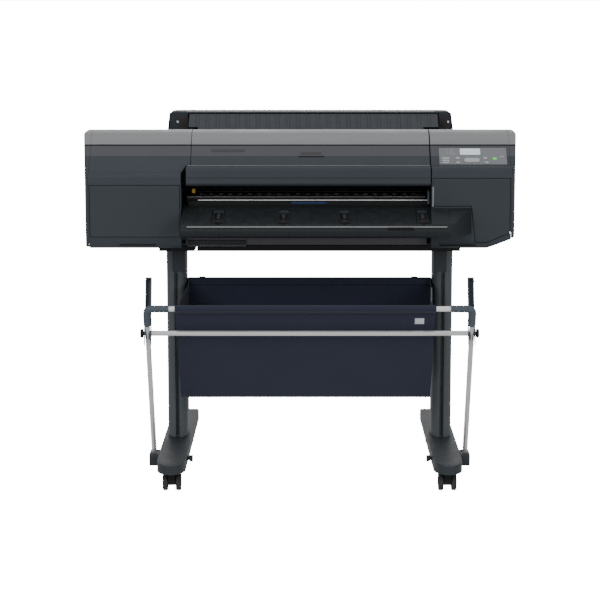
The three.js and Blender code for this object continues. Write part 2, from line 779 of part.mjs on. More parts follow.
/** Bay for the keys and the screen: a window through the right cabinet's slope. */
function panelWindow() {
  const along = new THREE.Vector2(SLOPE_RUN, SLOPE_RISE).normalize();
  const out = new THREE.Vector2(-along.y, along.x);
  const corner = (u, n) => [
    SLOPE_FOOT_Y + along.x * u + out.x * n,
    SLOPE_FOOT_Z + along.y * u + out.y * n,
  ];
  const outline = [corner(4, 3), corner(4, -WALL - 3), corner(64, -WALL - 3), corner(64, 3)];
  return alongX(outline.reverse(), PANEL_LEFT, PANEL_RIGHT);
}

/** A cabinet shell at one end of the body, open towards its end cover and the print engine. */
function cabinet(side, parent) {
  const { x0, x1, drop } = cabinets[side];
  const back = BODY_DEPTH + 20;
  const reach = [x0 - 60, x1 + 60];
  const outer = overlap(
    alongX(cabinetProfile(drop), ...reach),
    alongY(cabinetFront(side), -20, back),
  );
  const room = overlap(
    alongX(cabinetProfile(drop, WALL), ...reach),
    alongY(cabinetRoom(side), -20, back),
  );
  const inner = side === "left" ? [x1 - WALL - 1, LID_LEFT] : [x0 - 1, x0 + WALL + 1];
  const engineSide = alongX(
    [
      [ENGINE_FRONT, BODY_BOTTOM + WALL],
      [BODY_DEPTH - WALL, BODY_BOTTOM + WALL],
      [BODY_DEPTH - WALL, ENGINE_TOP],
      [ENGINE_FRONT + 24, ENGINE_TOP],
      [ENGINE_FRONT, ENGINE_TOP - 22],
    ],
    ...inner,
  );
  const opening = alongY(coverOutline(side, 0), -20, 22);
  const windows = side === "right" ? [panelWindow()] : [];
  piece(`${side}_cabinet`, cut(outer, room, opening, engineSide, ...windows), slate, parent);
}

/** A bulged end cover with rounded edges, hollow inside. */
function endCover(side, parent) {
  const s = sides[side];
  const { drop } = cabinets[side];
  const lift = side === "right" ? CORNER_CUT + 4 : 4;
  const layer = (inset) => {
    const bulge = END_BULGE - inset;
    const mid = 835;
    const low = BODY_BOTTOM + lift;
    const front = [
      [0, low],
      [bulge * 0.5, low],
      [bulge * 0.62, low + 8],
      [bulge * 0.8, low + 40],
      [bulge * 0.95, mid - 70],
      [bulge, mid],
      [bulge * 0.96, mid + 60],
      [bulge * 0.86, BODY_CREST - 16],
      [bulge * 0.72, BODY_CREST - 5],
      [bulge * 0.45, BODY_CREST + 1],
      [0, BODY_CREST + 1],
    ];
    const plan = [
      [0, -10],
      [3, -10],
      [bulge * 0.26, 2],
      [bulge * 0.44, 32],
      [bulge * 0.68, 84],
      [bulge * 0.9, 140],
      [bulge + 0.5, 200],
      [bulge + 0.5, BODY_DEPTH - 90],
      [bulge * 0.85, BODY_DEPTH - 40],
      [bulge * 0.5, BODY_DEPTH + 10],
      [0, BODY_DEPTH + 10],
    ];
    return overlap(
      alongX(cabinetProfile(drop, inset), -1, END_BULGE + 5),
      alongY(front, -20, BODY_DEPTH + 20),
      alongZ(plan, BODY_BOTTOM - 10, BODY_CREST + 10),
    );
  };
  const inner = layer(WALL).translate(-0.01, 0, 0);
  const shell = cut(layer(0), inner);
  const mirrored = s < 0 ? flip(shell) : shell;
  const mesh = piece(`${side}_end_cover`, mirrored, silverGrey, parent);
  mesh.position.x = s * (BODY_HALF_WIDTH + GAP);
}

/** Mirrors a closed geometry in X and keeps its faces pointing out. */
function flip(geometry) {
  return geometryOf(solidOf(geometry).mirror([1, 0, 0]));
}

/** An ink tank cover that swings up on its top edge. */
function inkCover(side, parent) {
  const { x0, x1, drop } = { ...inkCovers[side], drop: cabinets[side].drop };
  const shell = cut(
    alongX(cabinetProfile(drop), x0, x1),
    alongX(cabinetProfile(drop, WALL), x0 - 1, x1 + 1),
  );
  const geometry = overlap(shell, alongY(coverOutline(side, INK_COVER_GAP), -20, 30));
  piece(`${side}_ink_cover`, geometry, slate, parent);
}

/** The lid over the print engine, from its hinge at the back to the visor over the mouth. */
function topCover(parent) {
  const line = [
    [3, MOUTH_TOP],
    [-2, MOUTH_TOP + 6],
    [-2, SLOPE_FOOT_Z - 18],
    ...arc(8, SLOPE_FOOT_Z - 10, 10, 10, 180, 90, 4),
    [SLOPE_FOOT_Y, SLOPE_FOOT_Z],
    slopeTop,
    [slopeTop[0] + 3, slopeTop[1] + 1],
    ...topCurve(LID_HINGE_Y, 943),
  ];
  const front = [
    [VISOR_LEFT, MOUTH_TOP - 5],
    [VISOR_LEFT, SLOPE_FOOT_Z - SEAM],
    [LID_LEFT, SLOPE_FOOT_Z - SEAM],
    [LID_LEFT, BODY_CREST + 5],
    [LID_RIGHT, BODY_CREST + 5],
    [LID_RIGHT, MOUTH_TOP - 5],
  ];
  const geometry = overlap(
    alongX(strip(line, WALL + 0.5), VISOR_LEFT, LID_RIGHT),
    alongY(front, -20, BODY_DEPTH),
  );
  piece("top_cover", geometry, silverGrey, parent);
}

/** Pressed steel tray and side frames that everything in the body bolts to. */
function baseFrame(parent) {
  const thick = 3;
  const x = BODY_HALF_WIDTH - 14;
  const floor = BODY_BOTTOM + WALL + GAP;
  const cornerRoom = CORNER_CUT + thick + 6;
  const front = ENGINE_FRONT + GAP;
  const tray = block([-x, front, floor], [CORNER_X - 10, BODY_DEPTH - WALL - GAP, floor + thick]);
  const lip = block([MOUTH_LEFT + 8, front, floor], [MOUTH_RIGHT - 8, front + thick, floor + 22]);
  const sideFrame = (x0, z0) =>
    block([x0, RAIL_Y - 30, z0], [x0 + thick, RAIL_Y + 30, RAIL_Z + RAIL_RADIUS + 12]);
  const step = block(
    [CORNER_X - 14, RAIL_Y - 30, floor],
    [CORNER_X - 10, RAIL_Y + 30, floor + cornerRoom + thick],
  );
  const shelf = block(
    [CORNER_X - 14, RAIL_Y - 30, floor + cornerRoom],
    [x, RAIL_Y + 30, floor + cornerRoom + thick],
  );
  const hanger = (x0) => block([x0, FEED_Y - 22, floor], [x0 + thick, FEED_Y + 22, PLATEN_TOP - 3]);
  const frame = join(
    tray,
    lip,
    sideFrame(-x, floor),
    sideFrame(x - thick, floor + cornerRoom),
    step,
    shelf,
    hanger(MOUTH_LEFT + 8),
    hanger(MOUTH_RIGHT - 8 - thick),
  );
  const railHole = barX(RAIL_RADIUS + GAP, -x - 1, x + 1, RAIL_Y, RAIL_Z);
  const rollerHole = barX(6 + RUNNING_GAP, MOUTH_LEFT, MOUTH_RIGHT, FEED_Y, PLATEN_TOP - FEED_RADIUS);
  piece("base_frame", cut(frame, railHole, rollerHole), steel, parent);
}

/** Back panel, roll trough and spindle bearings in one moulding. */
function rearCover(parent) {
  const y = BODY_DEPTH + GAP;
  const line = [
    [y, BODY_BOTTOM + 8],
    [y, 752],
    [y + 26, 776],
    [ROLL_BACK - 40, 786],
    [ROLL_BACK - 8, 806],
    [ROLL_BACK - 2, 848],
  ];
  const trough = alongX(strip(line, 4), ROLL_LEFT + 12, ROLL_RIGHT - 12);
  const bearing = (x) => {
    const plate = alongX(
      [
        [SPINDLE_Y - 46, 776],
        [SPINDLE_Y + 46, 782],
        [SPINDLE_Y + 26, SPINDLE_Z + 8],
        [SPINDLE_Y - 26, SPINDLE_Z + 8],
      ],
      x,
      x + 6,
    );
    const notch = join(
      barX(SPINDLE_RADIUS + RUNNING_GAP, x - 1, x + 7, SPINDLE_Y, SPINDLE_Z),
      block(
        [x - 1, SPINDLE_Y - SPINDLE_RADIUS - RUNNING_GAP, SPINDLE_Z],
        [x + 7, SPINDLE_Y + SPINDLE_RADIUS + RUNNING_GAP, SPINDLE_Z + 12],
      ),
    );
    return cut(plate, notch);
  };
  const [wallLeft, wallRight] = [ROLL_LEFT + 12, ROLL_RIGHT - 12];
  const wall = block([wallLeft, y, BODY_BOTTOM + 8], [wallRight, y + 4, REAR_WALL_TOP]);
  const [x, z] = INLET;
  const shroud = block([x, y + 3, z], [x + 52, y + 13, z + 34]);
  const socket = block([x + 9, y + 2, z + 6], [x + 43, y + 14, z + 28]);
  const left = bearing(ROLL_LEFT + BEARING_INSET);
  const right = bearing(ROLL_RIGHT - BEARING_INSET - 6);
  piece("rear_cover", join(trough, cut(join(wall, shroud), socket), left, right), slate, parent);
}

/** The hood over the media roll, which swings up and back. */
function rollCover(parent) {
  const z = TOTAL_HEIGHT;
  const crown = BODY_DEPTH + 100;
  const sill = BODY_DEPTH + 12;
  const outside = [
    [ROLL_FRONT, z - 6],
    [ROLL_FRONT + 3, z - 2],
    [ROLL_FRONT + 10, z],
    [crown, z - 1],
    ...arc(crown, 872, ROLL_BACK - crown, z - 873, 75, 8, 7),
    [ROLL_BACK, 852],
  ];
  const shell = alongX(strip(outside, 4), ROLL_LEFT, ROLL_RIGHT);
  const endOutline = [[sill, 802], [sill, 940], ...outside, [ROLL_BACK - 4, 808]];
  const leftEnd = alongX(endOutline, ROLL_LEFT, ROLL_LEFT + 4);
  const rightEnd = alongX(endOutline, ROLL_RIGHT - 4, ROLL_RIGHT);
  const cheek = (x0, x1) => block([x0, ROLL_FRONT - 3.5, 931], [x1, ROLL_FRONT + 2.5, z - 5.2]);
  const cheeks = [
    cheek(ROLL_LEFT + 1, FEED_GUIDE_LEFT - CHEEK_GAP),
    cheek(FEED_GUIDE_RIGHT + CHEEK_GAP, ROLL_RIGHT - 1),
  ];
  const round = 52;
  const lean = 5; // how far the ends lean in towards the top
  const across = alongY(
    [
      [ROLL_LEFT - 1, 790],
      [ROLL_RIGHT + 1, 790],
      [ROLL_RIGHT + 1, 930],
      [ROLL_RIGHT - lean, z - 7],
      ...arc(ROLL_RIGHT - round - lean, z - 5, round - 3, 5, 20, 90, 5),
      ...arc(ROLL_LEFT + round + lean, z - 5, round - 3, 5, 90, 160, 5),
      [ROLL_LEFT + lean, z - 7],
      [ROLL_LEFT - 1, 930],
    ],
    BODY_DEPTH - 10,
    ROLL_BACK + 10,
  );
  piece("roll_cover", overlap(join(shell, leftEnd, rightEnd, ...cheeks), across), charcoal, parent);
}

/** The ribbed guide that leads media down into the feed slot. */
function feedGuide(parent) {
  const line = [
    [LID_HINGE_Y + 6, 920],
    [LID_HINGE_Y + 18, 934],
    [ROLL_FRONT - 34, 964],
    [ROLL_FRONT - 4, TOTAL_HEIGHT - 8.5],
  ];
  const plate = alongX(strip(line, 3), FEED_GUIDE_LEFT, FEED_GUIDE_RIGHT);
  const count = Math.floor((FEED_GUIDE_RIGHT - FEED_GUIDE_LEFT) / RIB_PITCH);
  const ribs = Array.from({ length: count }, (_, i) => {
    const x = FEED_GUIDE_LEFT + 20 + i * RIB_PITCH;
    const proud = line.map(([y, z]) => [y - 1, z + 1]);
    return alongX(strip(proud, 2), x, x + 1.2);
  });
  const shoulder = 948; // clears the backs of the two cabinets
  const front = [
    [LID_LEFT + 1, 900],
    [LID_LEFT + 1, shoulder],
    [FEED_GUIDE_LEFT - 1, shoulder],
    [FEED_GUIDE_LEFT - 1, TOTAL_HEIGHT],
    [FEED_GUIDE_RIGHT + 1, TOTAL_HEIGHT],
    [FEED_GUIDE_RIGHT + 1, shoulder],
    [MOUTH_RIGHT - 2, shoulder],
    [MOUTH_RIGHT - 2, 900],
  ];
  const guide = overlap(join(plate, ...ribs), alongY(front, LID_HINGE_Y - 30, BODY_DEPTH + 40));
  piece("feed_guide", guide, slate, parent);
}

/** Spindle with its fixed flange and drive gear. */
function spindle(parent) {
  const start = ROLL_LEFT + 8;
  const end = ROLL_RIGHT - 8;
  const flange = MEDIA_LEFT - 5;
  const shaft = barX(SPINDLE_RADIUS, start, end, 0, 0);
  const disc = barX(FLANGE_RADIUS, flange, flange + 5, 0, 0, 32);
  const hub = barX(26, flange + 5, flange + 30, 0, 0);
  const gear = barX(24, start, start + 9, 0, 0, 20);
  const mesh = piece("roll_spindle", join(shaft, disc, hub, gear), charcoal, parent);
  mesh.position.set(0, SPINDLE_Y, SPINDLE_Z);
}

/** The loose flange that slides along the spindle to hold a roll of any width. */
function rollStopper(parent) {
  const x = MEDIA_LEFT + MEDIA_WIDTH;
  const geometry = cut(
    join(barX(FLANGE_RADIUS, x, x + 5, 0, 0, 32), barX(27, x - 28, x, 0, 0), barX(24, x, x + 14, 0, 0)),
    barX(SPINDLE_RADIUS + RUNNING_GAP, x - 40, x + 40, 0, 0),
  );
  const mesh = piece("roll_stopper", geometry, charcoal, parent);
  mesh.position.set(0, SPINDLE_Y, SPINDLE_Z);
}

/** The carriage and the rail that it runs on. */
function carriage(parent) {
  const reach = BODY_HALF_WIDTH - 10;
  piece("carriage_rail", barX(RAIL_RADIUS, -reach, reach, RAIL_Y, RAIL_Z), steel, parent);
  const half = CARRIAGE_WIDTH / 2;
  const outline = [
    [96, 806],
    [120, PLATEN_TOP + 6],
    [162, PLATEN_TOP + 6],
    [176, 826],
    [RAIL_Y + 18, 826],
    [RAIL_Y + 18, 872],
    [RAIL_Y - 30, 884],
    [104, 878],
    [96, 862],
  ];
  const body = cut(
    alongX(outline, -half, half),
    barX(RAIL_RADIUS + RUNNING_GAP, -half - 1, half + 1, RAIL_Y, RAIL_Z),
  );
  const mesh = piece("carriage", body, charcoal, parent);
  mesh.position.x = CARRIAGE_X;
}

/** Platen and the grip roller that moves the media over it. */
function platen(parent) {
  const left = MOUTH_LEFT + 12;
  const right = MOUTH_RIGHT - 12;
  const outline = [
    [66, 764],
    [152, 764],
    [152, PLATEN_TOP],
    [84, PLATEN_TOP],
    [66, PLATEN_TOP - 4],
  ];
  piece("platen", alongX(outline, left, right), blackPlastic, parent);
  const z = PLATEN_TOP - FEED_RADIUS;
  const roller = join(
    barX(FEED_RADIUS, left + 4, right - 4, 0, 0),
    barX(6, MOUTH_LEFT + 4, MOUTH_RIGHT - 4, 0, 0),
  );
  const mesh = piece("feed_roller", roller, steel, parent);
  mesh.position.set(0, FEED_Y, z);
}

/** A row of ink tanks in their rack. */
function inkTanks(side, parent) {
  const { x0, x1 } = cabinets[side];
  const middle = (x0 + x1) / 2 + (side === "left" ? -4 : 4);
  const pitch = TANK_WIDTH + 3;
  const floor = BODY_BOTTOM + (side === "left" ? 40 : CORNER_CUT + 28);
  const span = (TANK_COUNT * pitch) / 2;
  const rack = block([middle - span, 30, floor], [middle + span, 150, floor + 5]);
  const tanks = Array.from({ length: TANK_COUNT }, (_, i) => {
    const x = middle - span + i * pitch + 1.5;
    return alongX(
      [
        [24, floor + 4],
        [146, floor + 4],
        [146, floor + 84],
        [60, floor + 84],
        [24, floor + 62],
      ],
      x,
      x + TANK_WIDTH,
    );
  });
  piece(`${side}_ink_tanks`, join(rack, ...tanks), blackPlastic, parent);
}

/** Box that holds the controller board and the power supply, with its sockets at the back. */
function electronicsBox(parent) {
  const z = BODY_BOTTOM + WALL + 8;
  const [left, right, front, back, top] = [-276, 214, 262, BODY_DEPTH - 8, z + 74];
  const body = block([left, front, z], [right, back, top]);
  const room = block([left + 2, front + 2, z + 2], [right - 2, back - 2, top - 2]);
  const vents = Array.from({ length: 6 }, (_, i) =>
    block([left + 20 + i * 24, front - 1, z + 20], [left + 34 + i * 24, front + 3, z + 56]),
  );
  piece("electronics_box", cut(body, room, ...vents), steel, parent);
}

/** The guide that carries prints out over the front, with windows for its four supports. */
function ejectionGuide(parent) {
  const surface = [
    [GUIDE_BACK, GUIDE_TOP_Z],
    [20, GUIDE_TOP_Z - 8],
    [-70, GUIDE_LIP_Z + 3],
    ...arc(-74, GUIDE_LIP_Z - 14, 16, 16, 80, 195, 6),
    ...arc(-78, GUIDE_UNDER_Z + 10, 10, 10, 200, 270, 3),
  ];
  const solid = [...surface, [GUIDE_BACK, GUIDE_UNDER_Z + 6]].reverse();
  const left = MOUTH_LEFT + 3;
  const shoulder = -6;
  const plan = (inset) => [
    [left + inset, GUIDE_BACK + inset],
    [left + inset, GUIDE_FRONT - 2 + inset],
    [392 - inset, GUIDE_FRONT - 2 + inset],
    [GUIDE_RIGHT - inset * 1.4, shoulder - inset],
    [MOUTH_RIGHT - 3 - inset, shoulder - inset],
    [MOUTH_RIGHT - 3 - inset, GUIDE_BACK + inset],
  ];
  const shelf = [
    [shoulder, GUIDE_UNDER_Z + 6],
    [shoulder, GUIDE_TOP_Z - 2],
    [shoulder - 20, GUIDE_TOP_Z - 9],
    [GUIDE_FRONT + 16, GUIDE_LIP_Z + 2],
    [GUIDE_FRONT + 16, GUIDE_UNDER_Z + 6],
  ];
  const outer = overlap(
    join(alongX(solid, -500, 500), alongX(shelf, MOUTH_RIGHT - 3, 500)),
    alongZ(plan(0), 600, 800),
  );
  const cavity = overlap(
    alongX(insetOutline(solid, WALL), -500, 500),
    alongZ(plan(WALL), 600, 800),
  );
  const back = block(
    [left + WALL, GUIDE_BACK - WALL - 4, GUIDE_UNDER_Z + 12],
    [MOUTH_RIGHT - 3 - WALL, GUIDE_BACK + 2, GUIDE_TOP_Z - 8],
  );
  const windows = SUPPORT_X.map((x) => supportWindow(x));
  piece("ejection_guide", cut(outer, cavity, back, ...windows), charcoal, parent);
}

const supportSlope = Math.atan2(GUIDE_TOP_Z - 8 - GUIDE_LIP_Z - 3, 90);
const supportFoot = [-64, GUIDE_LIP_Z + 3 + 6 * Math.tan(supportSlope)];

/** Window in the guide's surface for one support. */
function supportWindow(x) {
  const half = SUPPORT_WIDTH / 2 + 1;
  return block([-half, -4, -9], [half, SUPPORT_LENGTH + 2, 3])
    .rotateX(supportSlope)
    .translate(x, ...supportFoot);
}

/** A support that lies in the guide and swings up and over its front edge. */
function support(index, parent) {
  const half = SUPPORT_WIDTH / 2;
  const plate = block([-half, -2, -SUPPORT_THICK], [half, SUPPORT_LENGTH, 0]);
  const grip = block([-6, SUPPORT_LENGTH - 32, -SUPPORT_THICK - 1], [6, SUPPORT_LENGTH - 20, 1]);
  const ridge = block([-half + 8, 14, -0.5], [half - 8, 20, 1.2]);
  const geometry = join(cut(plate, grip), ridge);
  const mesh = piece(`support_${index + 1}`, geometry, slate, parent);
  mesh.rotation.x = supportSlope;
  mesh.position.set(SUPPORT_X[index], ...supportFoot);
}

// ---------------------------------------------------------------- control panel
const slopeAngle = Math.atan2(SLOPE_RISE, SLOPE_RUN);
const keys = {
  function_keys: { width: 21, spots: [[390, 10.4], [390, 18], [390, 25.6]], height: 5.4 },
  left_keys: { width: 12, spots: [[422.5, 10.4], [422, 25.6]], height: 6.4 },
  cursor_pad: { width: 43, spots: [[460, 19]], height: 15 },
  right_keys: { width: 12, spots: [[499, 10.4], [496, 25.6]], height: 6.4 },
  power_key: { width: 12, spots: [[521, 24]], height: 7 },
};

/** An oval or rounded key top at a spot on the slope, standing out of the panel. */
function keyTop([x, u], width, height, low, high) {
  const r = height / 2;
  const outline = [
    ...arc(x + width / 2 - r, u, r, r, -90, 90, 4),
    ...arc(x - width / 2 + r, u, r, r, 90, 270, 4),
  ];
  return alongZ(outline, low, high);
}

/** The panel over the slope, with holes for its keys and a recess for the screen. */
function controlPanel(parent) {
  const group = new THREE.Group();
  group.position.set(0, SLOPE_FOOT_Y, SLOPE_FOOT_Z);
  group.rotation.x = slopeAngle;
  parent.add(group);
  const plate = block([PANEL_LEFT + GAP, 4.5, -PANEL_THICK - 0.6], [PANEL_RIGHT - GAP, 63.5, -0.6]);
  const holes = Object.values(keys).flatMap(({ width, height, spots }) =>
    spots.map((spot) => keyTop(spot, width + 1, height + 1, -8, 8)),
  );
  const screen = block([429, 38, -1.6], [483, 60, 5]);
  piece("control_panel", cut(plate, screen, ...holes), charcoal, group);
  for (const [name, { width, height, spots }] of Object.entries(keys)) {
    const tops = spots.map((spot) => keyTop(spot, width, height, -7, KEY_RISE - 1.6));
    const xs = spots.map(([x]) => x);
    const us = spots.map(([, u]) => u);
    const web = block(
      [Math.min(...xs) - 3, Math.min(...us) - 2, -7.5],
      [Math.max(...xs) + 3, Math.max(...us) + 2, -5.2],
    );
    piece(name, join(web, ...tops), keyGrey, group);
  }
}

function printer() {
  const group = new THREE.Group();
  baseFrame(group);
  for (const side of Object.keys(sides)) {
    cabinet(side, group);
    endCover(side, group);
    inkCover(side, group);
    inkTanks(side, group);
  }
  topCover(group);
  controlPanel(group);
  ejectionGuide(group);
  SUPPORT_X.forEach((_, index) => support(index, group));
  carriage(group);
  platen(group);
  electronicsBox(group);
  rearCover(group);
  rollCover(group);
  feedGuide(group);
  spindle(group);
  rollStopper(group);
  return group;
}

// ---------------------------------------------------------------- assembly
const plotter = new THREE.Group();
plotter.add(stand(), basket(), printer());
plotter.updateMatrixWorld(true);
const box = new THREE.Box3().setFromObject(plotter, true);
const middle = box.getCenter(new THREE.Vector3());
plotter.position.set(-middle.x, -middle.y, -box.min.z);

export default plotter;
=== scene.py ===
"""Looks of a 24 inch floor plotter: a printer body on a rolling stand with a folding cloth basket.

Places are worked out in millimetres, X to the user's right, Y back from the front of the body and Z up
from the floor, and `at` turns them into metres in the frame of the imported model.
"""

import sys
import json
import logging
import math
from dataclasses import dataclass
from enum import Enum
from typing import Any, Callable, Iterable, Sequence

import bpy
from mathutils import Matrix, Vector


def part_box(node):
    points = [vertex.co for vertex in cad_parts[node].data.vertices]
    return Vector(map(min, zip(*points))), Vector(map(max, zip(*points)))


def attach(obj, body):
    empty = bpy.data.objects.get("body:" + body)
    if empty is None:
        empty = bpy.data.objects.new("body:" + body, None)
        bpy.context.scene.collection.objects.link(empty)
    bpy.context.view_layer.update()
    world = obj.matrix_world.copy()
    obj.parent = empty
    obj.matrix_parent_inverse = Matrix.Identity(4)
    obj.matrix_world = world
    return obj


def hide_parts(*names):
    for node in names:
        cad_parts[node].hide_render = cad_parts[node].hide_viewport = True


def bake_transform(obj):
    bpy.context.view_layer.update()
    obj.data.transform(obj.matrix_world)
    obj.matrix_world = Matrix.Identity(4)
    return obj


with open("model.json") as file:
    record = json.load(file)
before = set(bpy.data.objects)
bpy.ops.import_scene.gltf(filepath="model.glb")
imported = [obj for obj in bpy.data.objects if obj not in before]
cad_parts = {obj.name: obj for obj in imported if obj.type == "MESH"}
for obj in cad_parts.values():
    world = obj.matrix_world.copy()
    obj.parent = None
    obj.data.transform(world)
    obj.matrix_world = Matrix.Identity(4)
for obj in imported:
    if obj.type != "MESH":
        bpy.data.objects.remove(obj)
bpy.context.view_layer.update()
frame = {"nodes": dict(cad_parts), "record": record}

FRONT_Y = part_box("platen")[0].y - 0.066

Colour = tuple[float, float, float, float]
Point = tuple[float, float, float]
log = logging.getLogger("plotter")


def at(x: float, y: float, z: float) -> Vector:
    """Turns a place in millimetres into metres in the model's frame."""
    return Vector((x / 1000, y / 1000 + FRONT_Y, z / 1000))


def rgb(red: float, green: float, blue: float) -> Colour:
    """Returns an opaque linear colour."""
    return (red, green, blue, 1.0)


class Side(Enum):
    """Left or right of the machine, as its user sees it."""

    LEFT = -1
    RIGHT = 1

    @property
    def word(self) -> str:
        """The side's name in lower case, as node names use it."""
        return self.name.lower()


class Axis(Enum):
    """Direction that a turned piece points in."""

    X = (0.0, math.pi / 2, 0.0)
    Y = (-math.pi / 2, 0.0, 0.0)
    Z = (0.0, 0.0, 0.0)


# ------------------------------------------------------------------ shader maths


class Recipe:
    """Builds the node tree of one material."""

    def __init__(self, name: str) -> None:
        """Starts an empty material.

        Args:
            name: Name of the material.
        """
        self.material = bpy.data.materials.new(name)
        self.material.use_nodes = True
        self.tree = self.material.node_tree
        self.tree.nodes.clear()
        place = self.add("ShaderNodeTexCoord")
        self.place = Wire(self, place.outputs["Object"])
        self.flat = Wire(self, place.outputs["UV"])

    def add(
        self,
        kind: str,
        settings: dict[str, Any] | None = None,
        inputs: dict[str | int, Any] | None = None,
    ) -> bpy.types.Node:
        """Adds one node.

        Args:
            kind: Type of the node.
            settings: Properties of the node, or a ramp's stops, which are set first.
            inputs: Values or wires for its sockets, by name or number.

        Returns:
            The new node.
        """
        node = self.tree.nodes.new(kind)
        for key, value in (settings or {}).items():
            if key == "stops":
                self._set_stops(node.color_ramp, value)
            else:
                setattr(node, key, value)
        for key, value in (inputs or {}).items():
            if isinstance(value, Wire):
                self.tree.links.new(value.socket, node.inputs[key])
            else:
                node.inputs[key].default_value = value
        return node

    @staticmethod
    def _set_stops(ramp: bpy.types.ColorRamp, stops: Sequence[tuple[float, Colour]]) -> None:
        """Gives a colour ramp its stops."""
        while len(ramp.elements) < len(stops):
            ramp.elements.new(0.5)
        for element, (position, colour) in zip(ramp.elements, stops):
            element.position = position
            element.color = colour

    def part(self, axis: int, place: "Wire | None" = None) -> "Wire":
        """Returns one coordinate, 0 to 2, of a place."""
        node = self.add("ShaderNodeSeparateXYZ", None, {0: place or self.place})
        return Wire(self, node.outputs[axis])

    def scaled(self, x: float, y: float, z: float) -> "Wire":
        """Returns the place stretched by a factor along each axis."""
        node = self.add("ShaderNodeMapping", None, {"Vector": self.place, "Scale": (x, y, z)})
        return Wire(self, node.outputs[0])

    def noise(self, scale: float, detail: float = 2.0, place: "Wire | None" = None) -> "Wire":
        """Returns noise from 0 to 1 with a number of waves per metre."""
        inputs = {"Vector": place or self.place, "Scale": scale, "Detail": detail}
        return Wire(self, self.add("ShaderNodeTexNoise", None, inputs).outputs[0])

    def cells(self, scale: float, place: "Wire | None" = None) -> "Wire":
        """Returns the distance to the nearest of many scattered points."""
        inputs = {"Vector": place or self.place, "Scale": scale}
        return Wire(self, self.add("ShaderNodeTexVoronoi", None, inputs).outputs["Distance"])

    def mix(self, factor: "Wire | float", low: "Wire | Colour", high: "Wire | Colour") -> "Wire":
        """Returns a blend of two colours."""
        node = self.add("ShaderNodeMix", {"data_type": "RGBA"}, {0: factor, 6: low, 7: high})
        return Wire(self, node.outputs[2])

    def between(self, value: "Wire", low: float, high: float, soft: float) -> "Wire":
        """Returns 1 where a value lies between two limits, with soft edges."""
        return value.over(low, soft) * (1 - value.over(high, soft))

    def relief(self, height: "Wire", distance: float, radius: float, strength: float = 1.0) -> "Wire":
        """Returns the bumped normal of a surface whose edges are rounded.

        Args:
            height: Height of the relief, from 0 to 1.
            distance: Height that 1 stands for, in metres.
            radius: Radius of the rounded edges, in metres.
            strength: How strongly the relief shows.

        Returns:
            The normal.
        """
        inputs: dict[str | int, Any] = {"Height": height, "Distance": distance, "Strength": strength}
        if radius:
            soft = self.add("ShaderNodeBevel", {"samples": 4}, {"Radius": radius})
            inputs["Normal"] = Wire(self, soft.outputs[0])
        return Wire(self, self.add("ShaderNodeBump", None, inputs).outputs[0])

    def finish(self, **sockets: Any) -> bpy.types.Material:
        """Closes the tree with a principled shader.

        Args:
            sockets: Values or wires for the shader, with _ for the spaces in a socket's name.

        Returns:
            The finished material.
        """
        inputs = {key.replace("_", " "): value for key, value in sockets.items()}
        shader = self.add("ShaderNodeBsdfPrincipled", None, inputs)
        surface = Wire(self, shader.outputs[0])
        self.add("ShaderNodeOutputMaterial", None, {"Surface": surface})
        return self.material


@dataclass(frozen=True)
class Wire:
    """A value on its way through a shader, which can be used in sums."""

    recipe: Recipe
    socket: bpy.types.NodeSocket

    def calc(self, operation: str, first: "Wire | float", second: "Wire | float") -> "Wire":
        """Returns the result of one Math node."""
        node = self.recipe.add("ShaderNodeMath", {"operation": operation}, {0: first, 1: second})
        return Wire(self.recipe, node.outputs[0])

    def __add__(self, other: "Wire | float") -> "Wire":
        """Returns self + other."""
        return self.calc("ADD", self, other)

    __radd__ = __add__

    def __sub__(self, other: "Wire | float") -> "Wire":
        """Returns self - other."""
        return self.calc("SUBTRACT", self, other)

    def __rsub__(self, other: "Wire | float") -> "Wire":
        """Returns other - self."""
        return self.calc("SUBTRACT", other, self)

    def __mul__(self, other: "Wire | float") -> "Wire":
        """Returns self * other."""
        return self.calc("MULTIPLY", self, other)

    def __mod__(self, other: float) -> "Wire":
        """Returns the part of self left over by a repeat."""
        return self.calc("FLOORED_MODULO", self, other)

    def distance(self, other: "Wire | float") -> "Wire":
        """Returns how far self is from other."""
        return self.calc("ABSOLUTE", self - other, 0.0)

    def wave(self) -> "Wire":
        """Returns the sine of self."""
        return self.calc("SINE", self, 0.0)

    def over(self, edge: float, soft: float) -> "Wire":
        """Returns 0 below an edge and 1 above it, with a soft step between."""
        inputs = {0: self, 1: edge - soft, 2: edge + soft}
        node = self.recipe.add("ShaderNodeMapRange", {"interpolation_type": "SMOOTHSTEP"}, inputs)
        return Wire(self.recipe, node.outputs[0])


# ------------------------------------------------------------------ finishes


